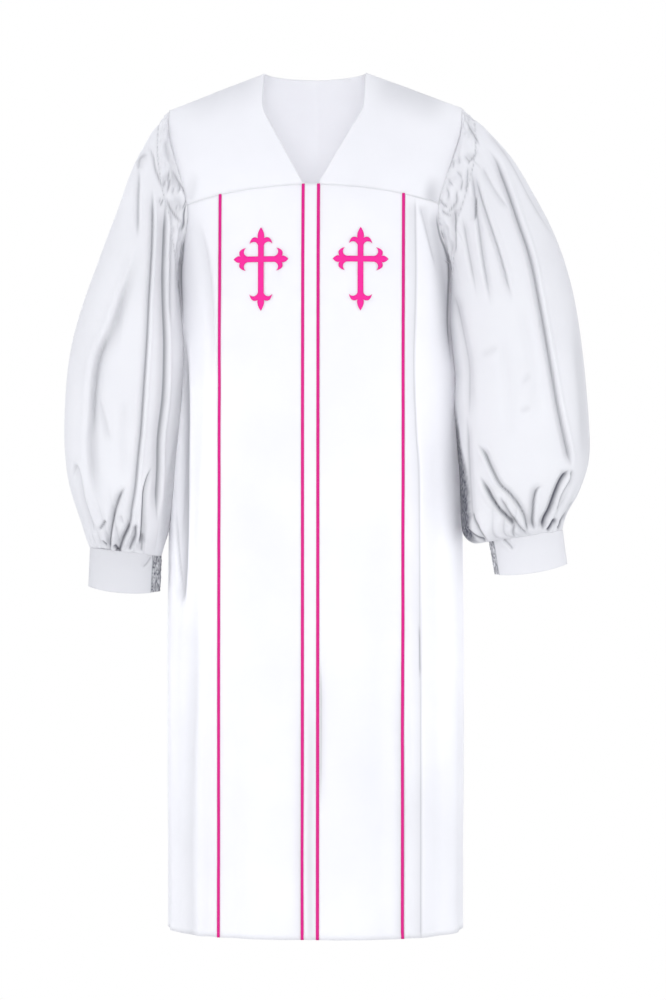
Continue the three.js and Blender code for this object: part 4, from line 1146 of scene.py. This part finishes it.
def pleat_waves(turn, count, unevenness, drift):
    """Round pleats with a sharp foot: their height from 0 to 1, all round a tube."""
    u = (turn / 360) % 1
    return np.abs(np.sin(np.pi * (count * turn / 360 + drift * unevenness(u, 0.5)))) ** 0.75


def from_shoulder(turn):
    """How many degrees a turn round the arm is from the shoulder, to the front or to the back."""
    return np.minimum(turn % 360, -turn % 360)


def band_width(turn):
    """How far the second row of gathering lies from the armhole seam at a turn round the arm."""
    return mix(BAND_TOP, BAND, ease(from_shoulder(turn) / 70))


def crumpled_band(u, reach, width, seed):
    """The shirred band: small slanting puckers between two rows of gathering stitches, and its painted
    shade.
    """
    share = reach / width
    cells = uneven(38, 3, seed, repeats=True), uneven(80, 7, seed + 1, repeats=True)
    slanted = (u + 0.03 * share) % 1
    crumple = cells[0](slanted, share) + 0.6 * cells[1](slanted, share)
    puffed = ease(reach / 5) * ease((width - reach) / 5)
    height = 2 * crumple * puffed
    # painted shade in the pits of the puckers
    shade = 0.14 * np.maximum(0, -crumple) * puffed
    # painted shade in dashes along each row of gathering, where the cloth is pinched
    dashes = np.sin(2 * np.pi * u * ARMHOLE_LENGTH / DASH) > -0.2
    for row, deep in (FIRST_ROW, 0.3), (width, 1.2):
        pinched = np.exp(-(((reach - row) / 1.3) ** 2))
        height = height - deep * pinched
        shade = np.maximum(shade, pinched * deep * (0.08 + 0.2 * dashes))
    return height, shade


def shirring(turn, t, reach, seed):
    """How the gathers lift a sleeve, and the shade painted where the cloth lies deep between them."""
    u = (turn / 360) % 1
    slow, quick = uneven(9, 1, seed, repeats=True), uneven(31, 6, seed + 1, repeats=True)
    width = band_width(turn)
    height, shade = crumpled_band(u, reach, width, seed + 2)
    head = pleat_waves(turn, HEAD_PLEATS, slow, 1.8)
    length = 75 + 55 * quick(u, 0.2)
    fade = np.clip(1 - (reach - width) / length, 0, 1) ** 1.3 * ease((reach - width + 3) / 8)
    pleats = np.maximum(0, 3.4 * quick(u, 0.6)) * fade
    foot = pleat_waves(turn, CUFF_PLEATS, slow, 1.4)
    near_cuff = ease((t - 0.83 - 0.07 * quick(u, 0.9)) / 0.13)
    gathers = 2.2 * (1 + 0.7 * slow(u, 1)) * near_cuff * (1 - 0.6 * ease((t - 0.965) / 0.035))
    height = height + pleats * (head - 0.6) + gathers * (foot - 0.6)
    # painted shade at the feet of the pleats and of the gathers
    shade = np.maximum(shade, 0.07 * pleats * (1 - head) ** 3)
    return height, np.maximum(shade, 0.04 * gathers * (1 - foot) ** 3)


print("pleats at the head and gathers at the cuff:", HEAD_PLEATS, CUFF_PLEATS)

# %% [markdown]
# Three more things shape a sleeve. Its gathered head stands up over the shoulder, its bag swells
# towards the body, and it lies on the body without cutting into it. Where the left sleeve lies
# there, its cloth is painted in deep speckled shade.

# %% The sleeves
HEAD_PUFF = {"right": 8, "left": 5}  # mm that the gathered head stands up over the shoulder
INNER_FULLNESS = {"right": 2, "left": 11}  # mm that the bag of a sleeve swells towards the body
INNER_SHADOW = {"right": 0.12, "left": 0.85}  # how dark the shade painted on the cloth is where it lies against the body
RIPPLE = 2.2  # mm, the long unevenness of a full sleeve
SEAM_CLEARANCE, CLEARANCE = 0.4, 0.8  # mm between a sleeve and the body, at the armhole and below


def fullness(hand, turn, t, reach):
    """How far a sleeve swells besides its creases: ripples, the puffed head and the full bag."""
    ripples = uneven(7, 6, 60 + HANDS[hand], repeats=True)((turn / 360) % 1, t)
    height = RIPPLE * ripples * ease(reach / 120)
    springs = 0.55 * ease(reach / 28) + 0.45 * ease((reach - band_width(turn) + 2) / 22)
    over_shoulder = ease(1 - from_shoulder(turn) / 80) * ease((190 - reach) / 110)
    height += HEAD_PUFF[hand] * over_shoulder * springs
    inner_side = np.exp(-(((turn % 360 - 165) / 50) ** 2))
    bag = ease((t - 0.35) / 0.15) * ease((0.97 - t) / 0.08)
    return height + INNER_FULLNESS[hand] * inner_side * bag


def painted_shade_against_body(hand, turn, t):
    """The speckled shade painted on a sleeve where its cloth lies against the body."""
    inner_edge = mix(158, 144, ease((t - 0.5) / 0.35))
    next_to_body = ease((turn % 360 - inner_edge) / 9) * ease((196 - turn % 360) / 22)
    hanging = ease((t - 0.42) / 0.2) * ease((0.97 - t) / 0.06)
    speckle = 1 + 0.3 * uneven(240, 180, 64 + HANDS[hand], repeats=True)((turn / 360) % 1, t)
    return INNER_SHADOW[hand] * next_to_body * hanging * speckle


def sleeve_points(hand, turn, t):
    """The gathered and creased surface of a sleeve, and the shade painted at each point."""
    side, sections = HANDS[hand], SLEEVES[hand]
    mirror = np.array([side, 1, 1])
    plain = sleeve_form(sections, turn, t)
    reach = np.linalg.norm(plain - sleeve_form(sections, turn, 0 * t), axis=-1)
    plain = plain * mirror
    normals = outward_normals(plain, plain[:, :-1].mean(1, keepdims=True), ring=True)
    height, shade = shirring(turn, t, reach, 50 + side)
    creases = (SLEEVE_CREASES[hand], True), (back_sleeve_creases[hand], False)
    for rows, in_front in creases:
        more, more_painted_shade = add_creases(plain, normals, rows, in_front)
        height, shade = height + more, np.maximum(shade, more_painted_shade)
    height = height + fullness(hand, turn, t, reach)
    # a faint painted grey shade over the sleeve, growing away from the armhole
    painted_sleeve_shade = 0.02 + 0.02 * uneven(5, 5, 68 + side, repeats=True)((turn / 360) % 1, t)
    shade = np.maximum(shade, painted_shade_against_body(hand, turn, t)) + painted_sleeve_shade * ease(reach / 60)
    points = (plain + normals * height[..., None]) * mirror
    beside_body = ease((turn - 40) / 25) * ease((320 - turn) / 25) > 0.5
    cleared = clear_of_body(points, mix(SEAM_CLEARANCE, CLEARANCE, ease(reach / 20)))
    points = np.where(beside_body[..., None], cleared, points) * mirror
    return points, normals, np.clip(shade, 0, 1)


FRONT_TURNS = np.linspace(0, 180, 187)
BACK_TURNS = np.linspace(180, 360, 65)
SLEEVE_ROWS = spread(196, (0, 0), (0.24, 0.14), (0.42, 0.32), (0.56, 0.58), (1, 1))
sleeve_turn, sleeve_t = np.meshgrid(np.concatenate([FRONT_TURNS[:-1], BACK_TURNS]), SLEEVE_ROWS)
for hand, side in HANDS.items():
    points, normals, shade = sleeve_points(hand, sleeve_turn, sleeve_t)
    middle = points[:, :-1].mean(1, keepdims=True)
    cut = 0.66, 0.66
    sleeve = cloth_piece(f"sleeve_cloth_{hand}", points, shade, middle, cut, ring=True)
    sleeve.data.materials.append(WHITE)
    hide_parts(f"sleeve_{hand}")

# %% [markdown]
# ## The cuffs
# A cuff is a stiffened band of double cloth that the sleeve is gathered into. It laps over itself
# on the inner side of the wrist, where its raw underlap shows a little rough and is painted in
# speckled shade, with a painted shadow line at the lap's edge. The whole cuff is painted a little
# grey as well.

# %% The cuffs
CUFF_EDGE = "outX outZ inX inZ middle front back".split()
CUFF_EDGES = {
    "right": dict(zip(CUFF_EDGE, (347, -757, 238, -765, -41, 33, 33))),
    "left": dict(zip(CUFF_EDGE, (387, -722, 277, -738, -41, 33, 33))),
}
CUFF_DROOP = 6
CUFF_PROUD = 1.2
CUFF_LAP_TURN = {"right": 139, "left": 147}
CUFF_PAINTED_SHADE = {"right": 0.15, "left": 0.06}  # a painted grey shade over the whole cuff
CUFF_WALL = 2  # mm, as a cuff is double and stiffened
CUFF_COLUMNS, CUFF_ROWS = 288, 40
LAP_END_TURN = 212


def cuff_points(hand, turn, down):
    """The plain form of a cuff, from the foot of its sleeve to its own lower edge."""
    side, lower = HANDS[hand], CUFF_EDGES[hand]
    upper = {column: SLEEVES[hand][column][-1] for column in CUFF_EDGE}
    get = {column: mix(upper[column], lower[column], down) for column in CUFF_EDGE}
    up, out = np.cos(np.radians(turn)), np.sin(np.radians(turn))
    outer = (1 + power(up, 2 / SLEEVE_OVAL_POWER)) / 2
    forward = power(out, 2 / SLEEVE_OVAL_POWER) * np.where(out >= 0, get["front"], get["back"])
    z = mix(get["inZ"], get["outZ"], outer) + 1.5 * (1 - down) - CUFF_DROOP * down * out * out
    x = side * mix(get["inX"], get["outX"], outer)
    return np.stack([x, get["middle"] - forward, z], -1)


CUFF_CREASES = {
    "right": [fold("151.4,556 147,563 142,568", 2.2, 2, 5)],
    "left": [fold("503,538 508.8,543.8 514,550", 2.2, 2, 5, leans=-1)],
}
for hand, side in HANDS.items():
    columns = np.linspace(0, 360, CUFF_COLUMNS + 1)
    turn, down = np.meshgrid(columns, np.linspace(0, 1, CUFF_ROWS + 1))
    points = cuff_points(hand, turn, down)
    middle = points[:, :-1].mean(1, keepdims=True)
    normals = outward_normals(points, middle, ring=True)
    height, shade = add_creases(points, normals, CUFF_CREASES[hand])
    lap = ease((turn - CUFF_LAP_TURN[hand]) / 4) * ease((LAP_END_TURN - turn) / 20)
    rough_and_speckled_shade = uneven(150, 26, 71, repeats=True)(turn / 360, down)
    height += CUFF_PROUD + 0.5 * uneven(6, 2, 70 + side, repeats=True)(turn / 360, down)
    height += lap * (0.8 * rough_and_speckled_shade - 1.2)
    # seam is a painted shadow line at the lap's edge; the underlap gets painted speckled shade
    seam = 0.5 * np.exp(-(((turn - CUFF_LAP_TURN[hand] - 1) / 1.2) ** 2))
    shade = np.maximum(shade, CUFF_PAINTED_SHADE[hand] + lap * (0.36 + 0.55 * rough_and_speckled_shade) + seam)
    shade = np.clip(shade, 0, 1)
    points = points + normals * height[..., None]
    cut = 0.24, 0.062
    cuff = cloth_piece(f"cuff_band_{hand}", points, shade, middle, cut, wall=CUFF_WALL, ring=True)
    cuff.data.materials.append(WHITE)
    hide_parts(f"cuff_{hand}")

# %% [markdown]
# ## Piping, thread and crosses
# Piping is a cord wrapped in a bias strip and caught in the seam, so only its round top shows. It
# follows the creased cloth of the panels from the yoke seam to the hem.

# %% Cords
def cord(name, line, out, half_width, half_height, material, slot, sides=10):
    """A cord along a line of points; out is the way out of the cloth at each of them."""
    across = np.cross(np.gradient(line, axis=0), out)
    across = across / np.linalg.norm(across, axis=-1, keepdims=True)
    turn = np.linspace(0, 2 * math.pi, sides + 1)[:, None]
    points = line[:, None] + across[:, None] * np.cos(turn) * half_width
    points = points + out[:, None] * np.sin(turn) * half_height
    bm = grid_mesh(points, np.zeros(points.shape[:2]), line[:, None], (0.01, 1), ring=True)
    ends = [edge for edge in bm.edges if edge.is_boundary]
    bmesh.ops.holes_fill(bm, edges=ends, sides=0)
    bmesh.ops.recalc_face_normals(bm, faces=bm.faces)
    made = finished(name, bm)
    made.data.materials.append(material)
    return made


def on_front(x, z, lift):
    """Points that lie on the creased cloth of the front, and the way out of it there."""
    bearing = round_of(x, z)
    base = body_point(bearing, z)
    out = body_point(bearing, z, 1) - base
    height, _ = add_creases(base, out, FRONT_CREASES)
    return base + out * (height + waver(base, True) + lift)[..., None], out


PIPING_REACH = 1.5  # how far the cord stands over its own middle line
PIPING_HALF = 2.5  # a little more than in the solids, as the cord presses the cloth aside
PIPING_LIFT = 0.4
PIPING_ROWS = 220
for hand, side in HANDS.items():
    for place, x in ("inner", INNER_PIPING_X), ("outer", OUTER_PIPING_X):
        z = hang_z(FRONT_SEAM, x, np.linspace(0, 1, PIPING_ROWS + 1))
        line, out = on_front(np.full(z.shape, side * x), z, PIPING_LIFT)
        form = PIPING_HALF, PIPING_REACH, PIPING_PINK
        piping = cord(f"cord_{place}_{hand}", line, out, *form, "pink_piping")
        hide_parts(f"piping_{place}_{hand}")
print("four lines of piping,", 2 * PIPING_HALF, "mm wide")

# %% [markdown]
# Sewing thread runs over and under the cloth, so a line of it is a thin cord that rises above the
# cloth at each stitch and dives below it between two stitches. The yokes are topstitched, and two
# rows of gathering thread hold the band of each sleeve.

# %% Sewing thread
STITCH = 3.4
THREAD_HALF = 0.3
THREAD_RISE, THREAD_SINK = 0.55, 0.2  # mm over and under the cloth, and how deep its middle lies
TOPSTITCH_ABOVE = 1.6  # mm from the yoke seam up to the topstitching
TOPSTITCH_X = 60, 187  # from the V of the neck to the armhole
GATHERING_POINTS = 700


def thread(name, line, out, stitch=STITCH):
    """A running thread: it rises over the cloth at each stitch and dives below it in between."""
    lengths = np.linalg.norm(np.diff(line, axis=0), axis=1)
    along = np.concatenate([[0], np.cumsum(lengths)])
    even = np.linspace(0, along[-1], int(8 * along[-1] / stitch))
    both = [np.interp(even, along, axis) for axis in np.concatenate([line, out], -1).T]
    line, out = np.stack(both[:3], -1), np.stack(both[3:], -1)
    over = THREAD_RISE * np.sin(2 * math.pi * even / stitch) - THREAD_SINK
    line = line + out * over[:, None]
    return cord(name, line, out, THREAD_HALF, THREAD_HALF, WHITE, "white_cloth", sides=6)


for hand, side in HANDS.items():
    seam_x = np.linspace(*TOPSTITCH_X, 90)
    seam_climb = climb_to(seam_x, seam_z(FRONT_SEAM, seam_x) + TOPSTITCH_ABOVE)
    seam_points = yoke_point(seam_x, seam_climb, True) * np.array([side, 1, 1])
    seam_out = np.array([0, -1, 0]) + 0 * seam_points
    lift = YOKE_PROUD + waver(seam_points, True)
    thread(f"topstitch_yoke_{hand}", seam_points + seam_out * lift[:, None], seam_out)
    turns, ts = np.meshgrid(np.linspace(5, 355, GATHERING_POINTS), np.linspace(0, 0.25, 50))
    form = sleeve_form(SLEEVES[hand], turns, ts)
    reach = np.linalg.norm(form - form[:1], axis=-1)
    first_row = np.full(GATHERING_POINTS, FIRST_ROW)
    for row, far in ("first", first_row), ("second", band_width(turns[0])):
        t = np.array([np.interp(far[i], reach[:, i], ts[:, i]) for i in range(GATHERING_POINTS)])
        points, normals, _ = sleeve_points(hand, turns[:3], np.stack([t - 0.001, t, t + 0.001]))
        thread(f"gathering_{row}_{hand}", points[1], normals[1], stitch=DASH)
print("topstitching and gathering threads sewn")

# %% [markdown]
# ## The crosses
# Each cross is cut from satin and sewn on, with fleury arms: a pointed petal between two that curl
# back. It is drawn as one half of an arm, mirrored and turned four times, and only the lengths of
# the arms differ.

# %% The outline of a cross
CROSS = {"x": 75, "z": -261.5, "up": 48.3, "side": 41.6, "down": 78, "bar": 8.6, "root": 11.5}
CROSS_PROUD = 1.9
CROSS_WALL = 1.4
CROSS_SQUARE = 4  # mm, the size of the squares that let it bend
END_PETAL, SIDE_PETAL = 16.3, 9.8
PETALS = table(
    "bendAlong bendAcross along across",
    (-6.5, 5.5, -5.6, 10.5),
    (-5.3, 14.5, -8.5, 17.3),
    (0.8, 15, 1.2, 10),
    (1.3, 6.8, -0.3, 4.6),
)
POINTED_BEND = {"along": 0.45, "across": 6.4}
CURVE_STEPS = 7


def bend(start, middle, end):
    """The points of a curve that leaves start towards middle and arrives at end."""
    s = (np.arange(CURVE_STEPS) + 1)[:, None] / CURVE_STEPS
    return list(start * (1 - s) ** 2 + 2 * middle * s * (1 - s) + end * s * s)


def half_arm(length, petal):
    """Half the outline of an arm, from its root to its tip."""
    notch = length - petal
    at = np.array([notch - CROSS["root"], CROSS["bar"] / 2])
    outline = [np.array([CROSS["bar"], CROSS["bar"]]) / 2, at]
    for along_bend, across_bend, along, across in zip(*PETALS.values()):
        end = np.array([notch + along, across])
        outline += bend(at, np.array([notch + along_bend, across_bend]), end)
        at = end
    tip_bend = np.array([notch + POINTED_BEND["along"] * petal, POINTED_BEND["across"]])
    return outline + bend(at, tip_bend, np.array([length, 0.0]))


def cross_outline():
    outline = []
    arms = ("side", SIDE_PETAL), ("up", END_PETAL), ("side", SIDE_PETAL), ("down", END_PETAL)
    for quarter, (arm, petal) in enumerate(arms):
        half = np.array(half_arm(CROSS[arm], petal))
        arm_points = np.concatenate([half * (1, -1), half[1:-1][::-1]])
        for _ in range(quarter):
            arm_points = np.stack([-arm_points[:, 1], arm_points[:, 0]], -1)
        outline.append(arm_points)
    return np.concatenate(outline)


print("corners of a cross:", len(cross_outline()))

# %% [markdown]
# The flat cross is sliced into small squares, so that it can bend, and is laid over the creased
# cloth of the panel. It has its own thickness, like thick embroidery.

# %% The crosses
for hand, side in HANDS.items():
    bm = bmesh.new()
    corners = [bm.verts.new((x, y, 0)) for x, y in cross_outline()]
    bm.faces.new(corners)
    for axis in (0, 1):
        for place in np.arange(-CROSS["down"], CROSS["up"], CROSS_SQUARE):
            cut_at, cut_way = Vector((0, 0, 0)), Vector((0, 0, 0))
            cut_at[axis], cut_way[axis] = place, 1
            everything = bm.verts[:] + bm.edges[:] + bm.faces[:]
            bmesh.ops.bisect_plane(bm, geom=everything, dist=0.01, plane_co=cut_at, plane_no=cut_way)
    bmesh.ops.triangulate(bm, faces=bm.faces)
    flat = np.array([vert.co for vert in bm.verts])
    points, _ = on_front(side * CROSS["x"] + flat[:, 0], CROSS["z"] + flat[:, 1], CROSS_PROUD)
    for vert, at in zip(bm.verts, points * MM):
        vert.co = at
    bmesh.ops.recalc_face_normals(bm, faces=bm.faces)
    if sum(face.normal.y for face in bm.faces) > 0:
        bmesh.ops.reverse_faces(bm, faces=bm.faces)
    cross = finished(f"applied_cross_{hand}", bm)
    cross.data.materials.append(CROSS_PINK)
    wall = cross.modifiers.new("wall", "SOLIDIFY")
    wall.thickness = CROSS_WALL * MM
    wall.offset = -1
    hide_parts(f"cross_{hand}")
    print(cross.name, len(cross.data.polygons), "faces")

# %% [markdown]
# ## Light
# The robe was photographed in a white room. A large soft lamp stands beside the camera, so cloth
# that faces it is brightest and turns grey towards its sides and at the top of the shoulders. The
# room itself gives a dimmer, bluish light from everywhere, and looks plain white in the picture.
# A weaker lamp on either side lights up the folds there, and one behind shapes the back. Three dim
# ones inside stand for the light that comes in through the neck and through the thin cloth.

# %% Light
ROOM_LIGHT = (0.955, 0.968, 1, 1)  # linear light, a little blue

world = bpy.data.worlds.new("white_room")
world.use_nodes = True
room = world.node_tree.nodes["Background"]
room.inputs["Color"].default_value = ROOM_LIGHT
room.inputs["Strength"].default_value = 1
backdrop = add(world, "ShaderNodeBackground", {"Color": linear("#FFFFFF")})
seen = add(world, "ShaderNodeLightPath", {})
either = add(
    world,
    "ShaderNodeMixShader",
    {},
    {
        "Fac": seen.outputs["Is Camera Ray"],
        1: room.outputs["Background"],
        2: backdrop.outputs["Background"],
    },
)
world.node_tree.links.new(either.outputs["Shader"], world.node_tree.nodes["World Output"].inputs["Surface"])
bpy.context.scene.world = world


def lamp(name, place, aim, size, watts, height=None):
    light = bpy.data.lights.new(name, "AREA")
    light.shape = "ELLIPSE"
    light.size = size
    light.size_y = height or size
    light.energy = watts
    holder = bpy.data.objects.new(name, light)
    holder.location = place
    holder.rotation_euler = (Vector(aim) - Vector(place)).to_track_quat("-Z", "Y").to_euler()
    holder.visible_camera = False
    bpy.context.scene.collection.objects.link(holder)


lamp("key", (0.2, -4.3, -0.5), (0, 0, -0.6), 1.8, 50)
lamp("fill_left", (-3.4, -1.6, -0.8), (0, 0, -0.7), 2, 20)
lamp("fill_right", (3.4, -1.6, -0.8), (0, 0, -0.7), 2, 13)
lamp("back", (-1.2, 4.2, 0.8), (0, 0, -0.6), 1.6, 24)
lamp("neck", (0, -0.05, -0.11), (0, 1, 0.1), 0.1, 0.045)
lamp("inside_left", (-0.1, 0, -0.65), (-1, 0, -0.65), 0.06, 0.45, height=0.9)
lamp("inside_right", (0.1, 0, -0.65), (1, 0, -0.65), 0.06, 0.62, height=0.9)
bpy.context.scene.view_settings.view_transform = "Standard"
print("seven lamps and a white room")
